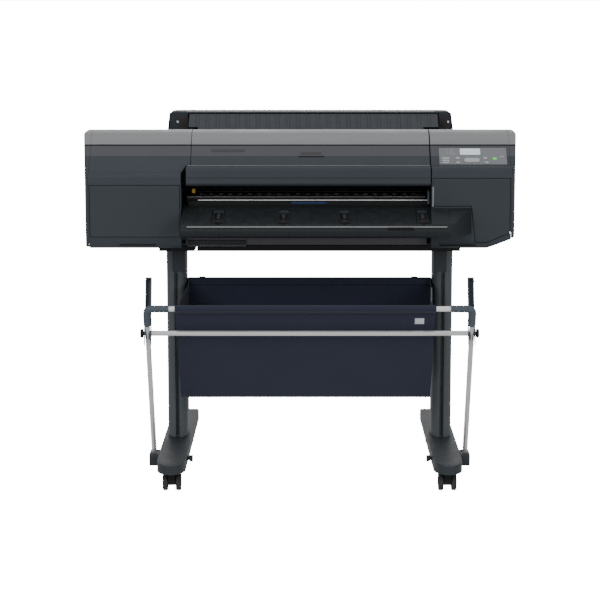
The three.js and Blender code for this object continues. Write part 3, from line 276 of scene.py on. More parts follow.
@dataclass(frozen=True)
class Moulding:
    """Moulded plastic with a fine spark-eroded grain, a faint mottle and handling marks."""

    name: str
    colour: Colour
    roughness: float = 0.46
    grain: float = 900.0
    depth: float = 0.00005
    radius: float = 0.0006
    mottle: float = 0.10
    coat: float = 0.0
    shine: float = 0.22

    def tint(self, recipe: Recipe) -> Wire:
        """Returns the colour over the surface, with a cloudy variation and dust on what faces up."""
        dark = tuple(c * (1 - self.mottle) for c in self.colour[:3]) + (1.0,)
        pale = tuple(c * (1 + self.mottle) for c in self.colour[:3]) + (1.0,)
        clouds = recipe.noise(9.0, 4.0)
        fine = recipe.noise(self.grain * 0.5, 1.0)
        base = recipe.mix(clouds * 0.7 + fine * 0.3, dark, pale)
        facing = recipe.add("ShaderNodeNewGeometry")
        up = recipe.part(2, Wire(recipe, facing.outputs["Normal"])).over(0.8, 0.2)
        dust = up * recipe.noise(40.0, 5.0).over(0.56, 0.14) * 0.02
        return recipe.mix(dust, base, rgb(0.42, 0.42, 0.40))

    def height(self, recipe: Recipe) -> Wire:
        """Returns the relief of the grain."""
        return recipe.cells(self.grain) * 0.6 + recipe.noise(self.grain * 0.6, 2.0) * 0.4

    def gloss(self, recipe: Recipe) -> Wire:
        """Returns the roughness, with smoother patches where hands have rubbed the grain."""
        rubbed = recipe.noise(14.0, 4.0).over(0.6, 0.12)
        speck = recipe.noise(self.grain * 0.3, 1.0)
        return self.roughness + speck * 0.06 - 0.03 - rubbed * 0.07

    def material(self) -> bpy.types.Material:
        """Returns the finish as a material."""
        recipe = Recipe(self.name)
        return recipe.finish(
            Base_Color=self.tint(recipe),
            Roughness=self.gloss(recipe),
            Normal=recipe.relief(self.height(recipe), self.depth, self.radius, 0.7),
            Specular_IOR_Level=self.shine,
            Coat_Weight=self.coat,
            Coat_Roughness=0.3,
        )


@dataclass(frozen=True)
class BandedShell(Moulding):
    """The body's shell: a satin silver-grey top, a mid-grey strip under the groove, dark slate below."""

    top: Colour = rgb(0.235, 0.245, 0.25)
    strip: Colour = rgb(0.078, 0.082, 0.093)
    groove: Colour = rgb(0.004, 0.004, 0.005)
    groove_z: float = 0.9175
    strip_z: float = 0.8915

    def tint(self, recipe: Recipe) -> Wire:
        """Returns the slate mottle with the strip, the groove and the top laid over it by height."""
        z = recipe.part(2)
        y = recipe.part(1)
        below = Moulding.tint(self, recipe)
        front = 1 - y.over(FRONT_Y + 0.094, 0.0008)
        in_strip = recipe.between(z, self.strip_z, self.groove_z, 0.0006) * front
        strip = recipe.mix(in_strip, below, self.strip)
        fleck = recipe.noise(1700.0, 1.0)
        satin = recipe.mix(fleck, self.top, tuple(c * 1.12 for c in self.top[:3]) + (1.0,))
        topped = recipe.mix(z.over(0.9185, 0.0006), strip, satin)
        line = recipe.between(z, self.groove_z - 0.0004, self.groove_z + 0.0026, 0.0004) * front
        return recipe.mix(line, topped, self.groove)


@dataclass(frozen=True)
class SeamedGuide(Moulding):
    """A guide surface with fine moulded lines across it at an even pitch."""

    pitch: float = 0.0286
    offset: float = 0.0
    line: float = 0.0006

    def lines(self, recipe: Recipe) -> Wire:
        """Returns 1 in the moulded lines."""
        x = (recipe.part(0) + self.offset) % self.pitch
        return 1 - x.distance(self.pitch / 2).over(self.line, self.line * 0.5)

    def tint(self, recipe: Recipe) -> Wire:
        """Returns the plastic's colour, darker in the moulded lines."""
        return recipe.mix(self.lines(recipe) * 0.75, Moulding.tint(self, recipe), rgb(0.006, 0.007, 0.008))

    def height(self, recipe: Recipe) -> Wire:
        """Returns the grain, sunk along the moulded lines."""
        return Moulding.height(self, recipe) - self.lines(recipe) * 2


@dataclass(frozen=True)
class PowderCoat(Moulding):
    """Thick sprayed paint on steel, with an orange-peel surface and chips down to grey."""

    roughness: float = 0.42
    grain: float = 420.0
    depth: float = 0.00012

    def height(self, recipe: Recipe) -> Wire:
        """Returns the orange peel."""
        return recipe.noise(self.grain, 3.0) * 0.8 + recipe.noise(self.grain * 5, 1.0) * 0.2


@dataclass(frozen=True)
class DrawnMetal:
    """Bare metal with fine lines along the way it was drawn, rolled or brushed."""

    name: str
    colour: Colour
    along: Point
    roughness: float = 0.3
    radius: float = 0.0006
    bare: float = 1.0

    def material(self) -> bpy.types.Material:
        """Returns the finish as a material."""
        recipe = Recipe(self.name)
        lines = recipe.noise(1.0, 3.0, recipe.scaled(*self.along))
        haze = recipe.noise(22.0, 4.0)
        dull = tuple(c * 0.82 for c in self.colour[:3]) + (1.0,)
        return recipe.finish(
            Base_Color=recipe.mix(lines * 0.6 + haze * 0.4, dull, self.colour),
            Metallic=self.bare,
            Roughness=self.roughness + haze * 0.12 + lines * 0.08 - 0.1,
            Normal=recipe.relief(lines, 0.00003, self.radius, 0.5),
        )


@dataclass(frozen=True)
class TreadRubber:
    """Black urethane tread with a dusty bloom and scuffs round it."""

    name: str
    colour: Colour

    def material(self) -> bpy.types.Material:
        """Returns the finish as a material."""
        recipe = Recipe(self.name)
        bloom = recipe.noise(160.0, 5.0)
        scuffs = recipe.noise(1.0, 3.0, recipe.scaled(60, 900, 900)).over(0.6, 0.1)
        worn = recipe.mix(bloom * 0.5 + scuffs * 0.3, self.colour, rgb(0.07, 0.07, 0.068))
        return recipe.finish(
            Base_Color=worn,
            Roughness=0.62 + bloom * 0.2,
            Normal=recipe.relief(bloom + scuffs * 0.4, 0.0001, 0.0008, 0.5),
        )


@dataclass(frozen=True)
class WovenCloth:
    """Plain-woven nylon, read along the cloth's own map, with a soft sheen and a light crease."""

    name: str
    warp: Colour
    weft: Colour
    threads: float = 4200.0
    seams: tuple[float, ...] = ()

    def material(self) -> bpy.types.Material:
        """Returns the finish as a material."""
        recipe = Recipe(self.name)
        u = recipe.part(0, recipe.flat) * self.threads
        v = recipe.part(1, recipe.flat) * self.threads
        over = (u.wave() * v.wave()).over(0.0, 0.6)
        weave = recipe.mix(over, self.warp, self.weft)
        faded = recipe.noise(7.0, 4.0)
        lint = recipe.noise(260.0, 2.0).over(0.72, 0.06)
        pale = tuple(c * 1.35 for c in self.weft[:3]) + (1.0,)
        creases = recipe.noise(1.0, 3.0, recipe.scaled(5, 22, 14))
        tinted = recipe.mix(lint * 0.12 + faded * 0.3, weave, pale)
        down = recipe.part(1, recipe.flat)
        for seam in self.seams:
            line = 1 - down.distance(seam).over(0.0011, 0.0005)
            tinted = recipe.mix(line * 0.8, tinted, rgb(0.004, 0.005, 0.008))
        return recipe.finish(
            Base_Color=tinted,
            Roughness=0.78 + over * 0.1,
            Sheen_Weight=0.1,
            Specular_IOR_Level=0.15,
            Sheen_Roughness=0.5,
            Normal=recipe.relief(over * 0.15 + creases * 3.0, 0.0011, 0.0, 0.35),
        )


@dataclass(frozen=True)
class DisplayPane:
    """A small liquid crystal pane, pale and even, with the fine grid of its cells."""

    name: str
    colour: Colour

    def material(self) -> bpy.types.Material:
        """Returns the finish as a material."""
        recipe = Recipe(self.name)
        dots = recipe.part(0) * 9000.0
        rows = recipe.part(2) * 13000.0
        grid = (dots.wave() * rows.wave()).over(0.2, 0.5)
        shade = tuple(c * 0.9 for c in self.colour[:3]) + (1.0,)
        return recipe.finish(
            Base_Color=recipe.mix(grid * 0.5 + recipe.noise(60.0) * 0.3, self.colour, shade),
            Roughness=0.16 + recipe.noise(90.0, 3.0) * 0.08,
            Coat_Weight=0.6,
            Emission_Color=recipe.mix(grid, self.colour, shade),
            Emission_Strength=0.7,
        )


@dataclass(frozen=True)
class GlowingLens:
    """A translucent lens over a small lamp, brightest in its middle grain."""

    name: str
    colour: Colour
    strength: float = 0.8

    def material(self) -> bpy.types.Material:
        """Returns the finish as a material."""
        recipe = Recipe(self.name)
        frost = recipe.noise(900.0, 3.0)
        bright = tuple(min(c * 1.5, 1.0) for c in self.colour[:3]) + (1.0,)
        glow = recipe.mix(frost, self.colour, bright)
        return recipe.finish(
            Base_Color=glow,
            Roughness=0.25 + frost * 0.15,
            Emission_Color=glow,
            Emission_Strength=self.strength,
        )


class Finishes:
    """Every finish on the machine, made once each when it is first asked for."""

    KINDS = {
        "shell": BandedShell("slate shell with silver top", rgb(0.042, 0.050, 0.061)),
        "slate": Moulding("slate moulding", rgb(0.040, 0.048, 0.057)),
        "charcoal": Moulding("charcoal moulding", rgb(0.014, 0.018, 0.021), 0.5),
        "hood": Moulding("charcoal hood", rgb(0.026, 0.031, 0.037), 0.44),
        "black": Moulding("black moulding", rgb(0.005, 0.0055, 0.006), 0.4),
        "guide": SeamedGuide("charcoal guide", rgb(0.018, 0.0215, 0.0245), 0.44, pitch=0.0605, offset=0.302),
        "ribbed": SeamedGuide("ribbed feed guide", rgb(0.050, 0.056, 0.065), 0.5, offset=0.302),
        "panel": Moulding("panel overlay", rgb(0.190, 0.197, 0.212), 0.34, 1500.0, 0.00002, coat=0.2),
        # Painted highlight: a pale grey laid in thin strips on rounded edges and roller tops, standing in
        # for the light they catch.
        "painted_highlight": Moulding("worn pale edge", rgb(0.24, 0.245, 0.255), 0.4, 1500.0, 0.00002, 0.0003),
        "key": Moulding("pale key", rgb(0.42, 0.44, 0.46), 0.36, 1500.0, 0.00002, 0.0009, 0.04),
        "print": Moulding("pale legend ink", rgb(0.34, 0.36, 0.38), 0.5, 1500.0, 0.00001, 0.0),
        "blank": Moulding("blank plate", rgb(0.055, 0.055, 0.06), 0.38, 1500.0, 0.00002, 0.0004),
        "label": Moulding("white label", rgb(0.62, 0.64, 0.70), 0.6, 1200.0, 0.00003, 0.0),
        "amber": Moulding("amber tag", rgb(0.45, 0.26, 0.03), 0.4, 1500.0, 0.00002, 0.0004),
        "blue": Moulding("blue strip", rgb(0.015, 0.05, 0.17), 0.35, 1500.0, 0.00002, 0.0004),
        "red": Moulding("red mark", rgb(0.14, 0.03, 0.02), 0.5, 1500.0, 0.00002, 0.0),
        "brown": Moulding("brown wear strip", rgb(0.035, 0.026, 0.022), 0.45),
        "coat": PowderCoat("slate powder coat", rgb(0.038, 0.045, 0.052)),
        # The columns wear the feet's slate powder coat; this copy is painted over twice as pale, painted
        # light to make up for the shade under the body.
        "lightened_column_paint": PowderCoat("column powder coat", rgb(0.085, 0.097, 0.108)),
        "grey_coat": PowderCoat("grey powder coat", rgb(0.080, 0.099, 0.120)),
        "black_coat": PowderCoat("black powder coat", rgb(0.008, 0.009, 0.010)),
        "tube": DrawnMetal("satin tube along X", rgb(0.93, 0.94, 0.95), (18, 1500, 1500), 0.34, bare=0.1),
        "leg": DrawnMetal("satin tube upright", rgb(0.86, 0.88, 0.90), (1500, 1500, 18), 0.34, bare=0.75),
        "steel": DrawnMetal("zinc plated steel", rgb(0.42, 0.43, 0.44), (30, 700, 700), 0.42),
        "rod": DrawnMetal("polished steel rod", rgb(0.86, 0.87, 0.89), (10, 1800, 1800), 0.24, bare=0.55),
        # Painted shade: steel darkened far below its own tone, for the frame in the dark gap under the guide
        # and the roller and rail deep in the mouth.
        "shade_darkened_steel": DrawnMetal("shaded roller steel", rgb(0.10, 0.10, 0.11), (10, 1800, 1800), 0.4),
        "tread": TreadRubber("caster tread", rgb(0.010, 0.010, 0.011)),
        "cloth": WovenCloth("navy woven cloth", rgb(0.021, 0.024, 0.043), rgb(0.026, 0.030, 0.052)),
        "hem": WovenCloth("navy hem tape", rgb(0.018, 0.021, 0.033), rgb(0.022, 0.026, 0.040)),
        "display": DisplayPane("display pane", rgb(0.50, 0.55, 0.60)),
        "green": GlowingLens("green lens", rgb(0.10, 0.55, 0.10), 0.4),
    }
    _made: dict[str, bpy.types.Material] = {}

    @classmethod
    def get(cls, word: str) -> bpy.types.Material:
        """Returns the material of a finish.

        Args:
            word: Key of the finish in KINDS.

        Returns:
            The material, which pieces share.
        """
        if word not in cls._made:
            cls._made[word] = cls.KINDS[word].material()
        return cls._made[word]


# ------------------------------------------------------------------ modelling


BODY_OF = {
    node: body
    for body, nodes in frame["record"]["behaviour"]["bodies"].items()
    for node in nodes
}
SLOT_OF = {part["node"]: part["material_slot"] for part in frame["record"]["subparts"]}


class Bench:
    """Makes pieces with Blender's own tools, as by hand, and hands them over finished."""

    @staticmethod
    def clear() -> None:
        """Leaves edit mode and deselects everything."""
        if bpy.context.object and bpy.context.object.mode != "OBJECT":
            bpy.ops.object.mode_set(mode="OBJECT")
        bpy.ops.object.select_all(action="DESELECT")

    @staticmethod
    def take(piece: bpy.types.Object) -> bpy.types.Object:
        """Selects one piece alone and makes it active."""
        Bench.clear()
        piece.select_set(True)
        bpy.context.view_layer.objects.active = piece
        return piece

    @staticmethod
    def edit(piece: bpy.types.Object, mode: str = "FACE") -> None:
        """Opens a piece in edit mode with all of it selected."""
        Bench.take(piece)
        bpy.ops.object.mode_set(mode="EDIT")
        bpy.ops.mesh.select_mode(type=mode)
        bpy.ops.mesh.select_all(action="SELECT")

    @staticmethod
    def settle(piece: bpy.types.Object) -> None:
        """Puts a piece's place and turn into its mesh."""
        Bench.take(piece)
        bpy.ops.object.transform_apply(location=True, rotation=True, scale=True)

    @staticmethod
    def smooth(piece: bpy.types.Object, degrees: float = 38.0) -> None:
        """Shades a piece smooth except over sharp edges."""
        Bench.take(piece)
        bpy.ops.object.shade_smooth_by_angle(angle=math.radians(degrees))

    @staticmethod
    def apply(piece: bpy.types.Object, kind: str, **settings: Any) -> None:
        """Adds a modifier with its settings and applies it."""
        Bench.take(piece)
        modifier = piece.modifiers.new(kind.lower(), kind)
        for key, value in settings.items():
            setattr(modifier, key, value)
        bpy.ops.object.modifier_apply(modifier=modifier.name)

    @staticmethod
    def round_edges(piece: bpy.types.Object, width: float, degrees: float = 32.0) -> None:
        """Bevels a piece's sharp edges, evens its normals and shades it smooth."""
        if width:
            Bench.apply(
                piece, "BEVEL", width=width / 1000, segments=2, limit_method="ANGLE",
                angle_limit=math.radians(degrees), use_clamp_overlap=True,
            )
        Bench.smooth(piece)
        Bench.apply(piece, "WEIGHTED_NORMAL", keep_sharp=True)

    @staticmethod
    def block(name: str, low: Point, high: Point, bevel: float = 0.6) -> bpy.types.Object:
        """Makes a box between two corners with soft edges.

        Args:
            name: Name of the piece.
            low: Lowest corner in millimetres.
            high: Highest corner in millimetres.
            bevel: Width of the bevel in millimetres.

        Returns:
            The piece.
        """
        Bench.clear()
        a, b = at(*low), at(*high)
        bpy.ops.mesh.primitive_cube_add(size=1, location=(a + b) / 2)
        piece = bpy.context.object
        piece.name = name
        piece.scale = b - a
        Bench.settle(piece)
        Bench.round_edges(piece, bevel)
        return piece

    @staticmethod
    def turned(
        name: str, stations: Sequence[tuple[float, float]], centre: Point, axis: Axis, sides: int = 32
    ) -> bpy.types.Object:
        """Makes a turned piece from a ring that is drawn out and resized.

        Args:
            name: Name of the piece.
            stations: Pairs of radius and distance along the axis, in millimetres.
            centre: Place of distance 0.
            axis: Direction of the axis.
            sides: Number of sides.

        Returns:
            The piece.
        """
        Bench.clear()
        radius, start = stations[0]
        bpy.ops.mesh.primitive_circle_add(
            vertices=sides, radius=radius / 1000, fill_type="NGON", location=(0, 0, start / 1000)
        )
        piece = bpy.context.object
        piece.name = name
        Bench.settle(piece)
        Bench.edit(piece)
        for wide, height in stations[1:]:
            move = {"value": (0, 0, (height - start) / 1000)}
            bpy.ops.mesh.extrude_region_move(TRANSFORM_OT_translate=move)
            ratio = wide / radius
            middle = (0, 0, height / 1000)
            bpy.ops.transform.resize(value=(ratio, ratio, 1), center_override=middle)
            radius, start = wide, height
        bpy.ops.mesh.select_all(action="SELECT")
        bpy.ops.mesh.normals_make_consistent(inside=False)
        Bench.clear()
        piece.rotation_euler = axis.value
        piece.location = at(*centre)
        Bench.settle(piece)
        Bench.smooth(piece, 40)
        return piece

    @staticmethod
    def plate(
        name: str, outline: Sequence[Point], thickness: float, bevel: float = 0.3
    ) -> bpy.types.Object:
        """Makes a flat plate from an outline in space, thickened away from its front.

        Args:
            name: Name of the piece.
            outline: Corners in millimetres, anticlockwise as seen from its front.
            thickness: Thickness in millimetres.
            bevel: Width of the bevel in millimetres.

        Returns:
            The piece.
        """
        Bench.clear()
        bpy.ops.mesh.primitive_circle_add(vertices=len(outline), radius=1, fill_type="NGON")
        piece = bpy.context.object
        piece.name = name
        for vertex, corner in zip(piece.data.vertices, outline):
            vertex.co = at(*corner)
        piece.data.update()
        back = -piece.data.polygons[0].normal * thickness / 1000
        Bench.edit(piece)
        bpy.ops.mesh.extrude_region_move(TRANSFORM_OT_translate={"value": tuple(back)})
        bpy.ops.mesh.select_all(action="SELECT")
        bpy.ops.mesh.normals_make_consistent(inside=False)
        Bench.clear()
        Bench.round_edges(piece, bevel)
        return piece

    @staticmethod
    def copies(piece: bpy.types.Object, steps: Iterable[Vector]) -> list[bpy.types.Object]:
        """Copies a finished piece to each offset in metres, each copy with its own mesh."""
        made = []
        for step in steps:
            Bench.take(piece)
            bpy.ops.object.duplicate(linked=False)
            twin = bpy.context.object
            twin.location = step
            Bench.settle(twin)
            made.append(twin)
        return made

    @staticmethod
    def join(name: str, pieces: Sequence[bpy.types.Object]) -> bpy.types.Object:
        """Joins several small pieces of one kind under one name."""
        Bench.clear()
        for piece in pieces:
            piece.select_set(True)
        bpy.context.view_layer.objects.active = pieces[0]
        bpy.ops.object.join()
        joined = bpy.context.object
        joined.name = name
        return joined

    @staticmethod
    def hand_over(
        piece: bpy.types.Object, finish: str, body: str = "printer", slot: str = "charcoal_plastic"
    ) -> bpy.types.Object:
        """Gives a piece its finish and the body that it rides on.

        Args:
            piece: The finished piece.
            finish: Key of its finish.
            body: Body that it moves with.
            slot: Material slot that it belongs to; not used.

        Returns:
            The same piece.
        """
        piece.data.materials.clear()
        piece.data.materials.append(Finishes.get(finish))
        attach(piece, body)
        log.info("%s: %d faces on %s", piece.name, len(piece.data.polygons), body)
        return piece

    @staticmethod
    def refine(node: str, finish: str, bevel: float = 0.8, sharp: float = 32.0) -> bpy.types.Object:
        """Makes the shown version of a solid: its own shape with soft edges and even shading.

        Args:
            node: Name of the solid.
            finish: Key of its finish.
            bevel: Width of the bevel in millimetres.
            sharp: Angle in degrees past which an edge is bevelled.

        Returns:
            The piece that is shown in place of the solid.
        """
        Bench.take(frame["nodes"][node])
        bpy.ops.object.duplicate(linked=False)
        piece = bpy.context.object
        piece.name = f"{node}_shown"
        for key in list(piece.keys()):
            del piece[key]
        piece.parent = None
        Bench.edit(piece)
        bpy.ops.mesh.remove_doubles(threshold=0.00002)
        bpy.ops.mesh.dissolve_limited(angle_limit=math.radians(0.4))
        Bench.clear()
        if piece.data.has_custom_normals:
            Bench.take(piece)
            bpy.ops.mesh.customdata_custom_splitnormals_clear()
        Bench.round_edges(piece, bevel, sharp)
        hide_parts(node)
        return Bench.hand_over(piece, finish, BODY_OF[node], SLOT_OF[node])


# ------------------------------------------------------------------ sloping faces


@dataclass(frozen=True)
class Slope:
    """A flat face that runs in X and slopes up from a foot to a head, both given in Y and Z."""

    foot: tuple[float, float]
    head: tuple[float, float]
    body: str = "printer"
    slot: str = "slate_plastic"

    def spot(self, x: float, up: float, out: float) -> Point:
        """Returns a place on the face.

        Args:
            x: Distance to the right in millimetres.
            up: Distance up the face from its foot.
            out: Distance out of the face.

        Returns:
            The place in millimetres.
        """
        run, rise = self.head[0] - self.foot[0], self.head[1] - self.foot[1]
        length = math.hypot(run, rise)
        run, rise = run / length, rise / length
        return (x, self.foot[0] + up * run - out * rise, self.foot[1] + up * rise + out * run)

    def patch(
        self, name: str, finish: str, x: tuple[float, float], up: tuple[float, float],
        out: float = 0.4, sink: float = 0.5, bevel: float = 0.2, corner: float = 0.0,
    ) -> bpy.types.Object:
        """Lays a thin plate on the face.

        Args:
            name: Name of the piece.
            finish: Key of its finish.
            x: Its left and right edges.
            up: Its lower and upper edges.
            out: How far it stands out.
            sink: How far it goes into the face.
            bevel: Width of its bevel.
            corner: Radius of its corners.

        Returns:
            The piece.
        """
        corners: list[Point] = []
        steps = 6 if corner else 0
        for cx, cu, start in (
            (x[1] - corner, up[0] + corner, -90), (x[1] - corner, up[1] - corner, 0),
            (x[0] + corner, up[1] - corner, 90), (x[0] + corner, up[0] + corner, 180),
        ):
            for step in range(steps + 1):
                turn = math.radians(start + (90 * step / steps if steps else 45))
                reach = corner if steps else 0.0
                corners.append(self.spot(cx + reach * math.cos(turn), cu + reach * math.sin(turn), out))
        piece = Bench.plate(name, corners, out + sink, bevel)
        return Bench.hand_over(piece, finish, self.body, self.slot)


LID_SLOPE = Slope((34.0, 868.0), (84.0, 917.0))
BASKET_FRONT = Slope((8.0, 257.0), (-170.0, 492.5), "basket_frame", "basket_cloth")


def bar(name: str, finish: str, low: Point, high: Point, bevel: float = 0.3, **ride: str) -> None:
    """Makes a small block between two corners in millimetres and hands it over."""
    Bench.hand_over(Bench.block(name, low, high, bevel), finish, **ride)


def bars(rows: Iterable[tuple[Any, ...]], **ride: str) -> None:
    """Makes several bars, each from one row of a bar's arguments."""
    for row in rows:
        bar(*row, **ride)


def refine_all(rows: Iterable[tuple[str, str, float]]) -> None:
    """Refines several solids, each from a row with its name, finish and bevel."""
    for row in rows:
        Bench.refine(*row)


def screw(name: str, centre: Point, axis: Axis, radius: float = 3.2, **ride: str) -> None:
    """Makes a pan-head screw with a socket in its head."""
    stations = (
        (radius, -1.0), (radius, 0.6), (radius * 0.9, 1.3), (radius * 0.62, 1.7),
        (radius * 0.42, 1.7), (radius * 0.36, 0.7),
    )
    Bench.hand_over(Bench.turned(name, stations, centre, axis, 20), "rod", **ride)


# ------------------------------------------------------------------ the machine


@dataclass
class BodyShell:
    """Cabinets, end covers, lid and ink covers, and what is fixed to them."""

    edge: float = 1.3
    back: float = 400.0
    vents: int = 9
    vent_pitch: float = 11.0
    vent_height: float = 4.5
    vent_foot: float = 690.0

    def build(self) -> None:
        """Builds the shell and its trim."""
        for side in Side:
            refine_all((
                (f"{side.word}_cabinet", "shell", self.edge),
                (f"{side.word}_end_cover", "shell", self.edge),
                (f"{side.word}_ink_cover", "slate", 0.9),
                (f"{side.word}_ink_tanks", "black", 0.6),
            ))
        refine_all((
            ("top_cover", "shell", 1.0),
            # The base frame takes the shade-darkened steel, painted shade in the gap under the guide.
            ("base_frame", "shade_darkened_steel", 0.5),
            ("electronics_box", "steel", 0.6),
            ("rear_cover", "slate", 0.8),
        ))
        self.lid()
        self.cabinets()
        self.rear()

    def lid(self) -> None:
        """Adds the finger slot, the blank plates, the visor's seam and a pale strip along the visor's top
        edge that is a painted highlight.
        """
        lid = Slope(LID_SLOPE.foot, LID_SLOPE.head, "top_cover", "silver_plastic")
        lid.patch("finger_slot", "black", (-5, 66), (29, 34), 0.3, corner=2.4)
        lid.patch("finger_pad", "blank", (2, 58), (38, 47), 0.3, corner=1.5)
        lid.patch("lid_blank_plate", "blank", (-239, -147), (47, 57), 0.25, corner=1.0)
        ride = {"body": "top_cover", "slot": "silver_plastic"}
        # lid_edge is a pale strip along the visor's top edge, a painted highlight.
        bar("lid_edge", "painted_highlight", (-300, 28.5, 867.0), (346, 35.5, 868.9), 0.8, **ride)
        bar("visor_seam", "black", (-300, -2.35, 837.5), (345, -1.5, 838.5), 0.2, **ride)

    def cabinets(self) -> None:
        """Adds the slots and seams of the cabinets' fronts, and a pale strip down the mouth's right edge
        that is a painted highlight.
        """
        ride = {"slot": "slate_plastic"}
        bars((
            ("left_slot", "black", (-482, 5.6, 656.5), (-384, 8.5, 661), 0.8),
            ("left_notch", "black", (-317, -1.6, 719.5), (-298, 1, 722), 0.3),
            ("right_slot", "black", (372, -0.9, 655.6), (470, 8.5, 658), 0.8),
            # mouth_edge is a pale strip down the mouth's right edge, a painted highlight.
            ("mouth_edge", "painted_highlight", (351.5, -4.4, 762), (355.5, -2.0, 815), 0.8),
            ("left_liner", "black", (-559.5, 6, 672), (-300, 9, 692), 0.4),
            ("right_liner", "black", (480, 6, 684), (559.5, 9, 712), 0.4),
            ("right_seam_fill", "slate", (352.3, -3.7, 690), (353.5, -1, 836), 0.2),
        ), **ride)

    def rear(self) -> None:
        """Adds vents, screws and blank labels to the back."""
        y = self.back
        for side, start, end in (("left", -520, -400), ("right", 450, 530)):
            for row in range(self.vents):
                z = self.vent_foot + row * self.vent_pitch
                high = (end, y + 0.4, z + self.vent_height)
                bar(f"{side}_vent_{row}", "black", (start, y - 1, z), high, 0.4)
            for index, (x, z) in enumerate(((start - 16, 670), (end + 14, 670), (start - 16, 900))):
                screw(f"{side}_back_screw_{index}", (x, y, z), Axis.Y, 3.6, slot="slate_plastic")
        bar("rating_plate_blank", "blank", (-520, y - 1, 820), (-430, y + 0.5, 860), 0.3)
        bar("rear_label_blank", "label", (455, y - 1, 830), (525, y + 0.5, 862), 0.3)


@dataclass
class ControlPanel:
    """The operator's panel on the right cabinet's slope."""

    face: Slope = LID_SLOPE
    ink: float = -0.2
    row_pitch: float = 7.0

    def build(self) -> None:
        """Builds the panel, its display, its lamps and its unlettered legends."""
        refine_all((
            ("control_panel", "panel", 0.4),
            *((node, "key", 0.3) for node in ("function_keys", "left_keys", "right_keys", "cursor_pad")),
            ("power_key", "green", 0.3),
        ))
        face = self.face
        face.patch("display_frame", "panel", (426, 486), (35.5, 62), -0.15, corner=2)
        face.patch("display_glass", "display", (429, 483), (38, 60), 0.2, corner=1)
        for row in range(3):
            up = (40 + row * self.row_pitch, 41.6 + row * self.row_pitch)
            face.patch(f"status_mark_{row}", "print", (400, 418 - row * 4), up, self.ink)
            face.patch(f"status_lamp_{row}", "print", (392, 396), up, self.ink, corner=0.7)
        for x in (381, 418, 440, 470, 492, 512):
            face.patch(f"legend_{x}", "print", (x, x + 8), (30.2, 31.4), self.ink)
        face.patch("corner_mark", "print", (534, 546), (30, 34), self.ink, corner=1)


@dataclass
class PrintMouth:
    """Platen, rail, carriage and rollers behind the front opening."""

    # Count and pitch of the pale dashes over the pinch rollers, which are painted highlights.
    marks: int = 23
    mark_pitch: float = 0.026

    def build(self) -> None:
        """Builds the inside of the mouth."""
        refine_all((
            ("platen", "black", 0.5),
            # The feed roller and the rail take the shade-darkened steel, painted shade deep in the mouth.
            ("feed_roller", "shade_darkened_steel", 0.3),
            ("carriage_rail", "shade_darkened_steel", 0.3),
            ("carriage", "charcoal", 1.0),
        ))
        bars((
            ("paper_bar", "tube", (-274, 47.5, 772.6), (345, 51, 775.2), 0.8),
            ("platen_edge", "steel", (-303, 65.2, 780.2), (337, 66.4, 781.5), 0.3),
            ("blue_mark", "blue", (-23, 46.9, 764.6), (72, 49.5, 768), 0.6),
            ("cutter_ledge", "black", (-300, 48.5, 758), (346, 54, 771), 0.8),
            ("mouth_bracket", "grey_coat", (341.5, 38, 764), (346.5, 60, 800), 1.0),
            ("mouth_tag", "amber", (-290, 58.6, 792), (-281, 60.4, 803), 0.6),
        ))
        # A row of pale dashes over the pinch rollers, painted highlights on their tops.
        dash = Bench.block("paper_guide_marks", (-270, 87, 785.6), (-261, 92, 786.9), 0.3)
        twins = Bench.copies(dash, [Vector((self.mark_pitch * n, 0, 0)) for n in range(1, self.marks)])
        Bench.hand_over(Bench.join("paper_guide_marks", [dash, *twins]), "painted_highlight")


@dataclass
class ExitGuide:
    """The guide that prints slide down, with its four supports."""

    support_x: tuple[float, ...] = (-215.0, -43.0, 118.0, 325.0)

    def build(self) -> None:
        """Builds the guide, its trim with painted highlight strips along its lip and under it, and the
        supports with their latches.
        """
        Bench.refine("ejection_guide", "guide", 0.8)
        bars((
            # lip_edge is a pale strip along the guide's lip, a painted highlight.
            ("lip_edge", "painted_highlight", (-296, -90.7, 715.8), (386, -87.5, 719.6), 0.9),
            ("lip_tag", "black", (230, -90.9, 708.5), (299, -89.0, 717), 0.4),
            ("under_panel", "slate", (-303, 57.5, 649.6), (-144, 62, 664), 0.6),
            # under_edge is a pale strip along the bottom of the panel under the guide, a painted highlight.
            ("under_edge", "painted_highlight", (-303, 56.9, 648.4), (-144, 60, 649.9), 0.3),
        ))
        for number, x in enumerate(self.support_x, 1):
            Bench.refine(f"support_{number}", "charcoal", 0.6)
            face = Slope((-66.0, 724.4), (17.0, 750.9), f"support_{number}")
            for word, finish, half, up, out, corner in (
                ("window", "black", 9.5, (26, 60), 0.35, 2),
                ("tongue", "slate", 4.5, (30, 60), 1.0, 1.5),
                ("latch", "slate", 13, (68, 80), 2.0, 2.5),
                ("mark", "red", 4, (13, 16.5), 0.4, 1.0),
            ):
                face.patch(f"support_{word}_{number}", finish, (x - half, x + half), up, out, corner=corner)
            tip = [face.spot(x - 14, 3, 0.4), face.spot(x, -8, 0.4), face.spot(x + 14, 3, 0.4)]
            Bench.hand_over(Bench.plate(f"support_tip_{number}", tip, 1.0, 0.2), "black", face.body)


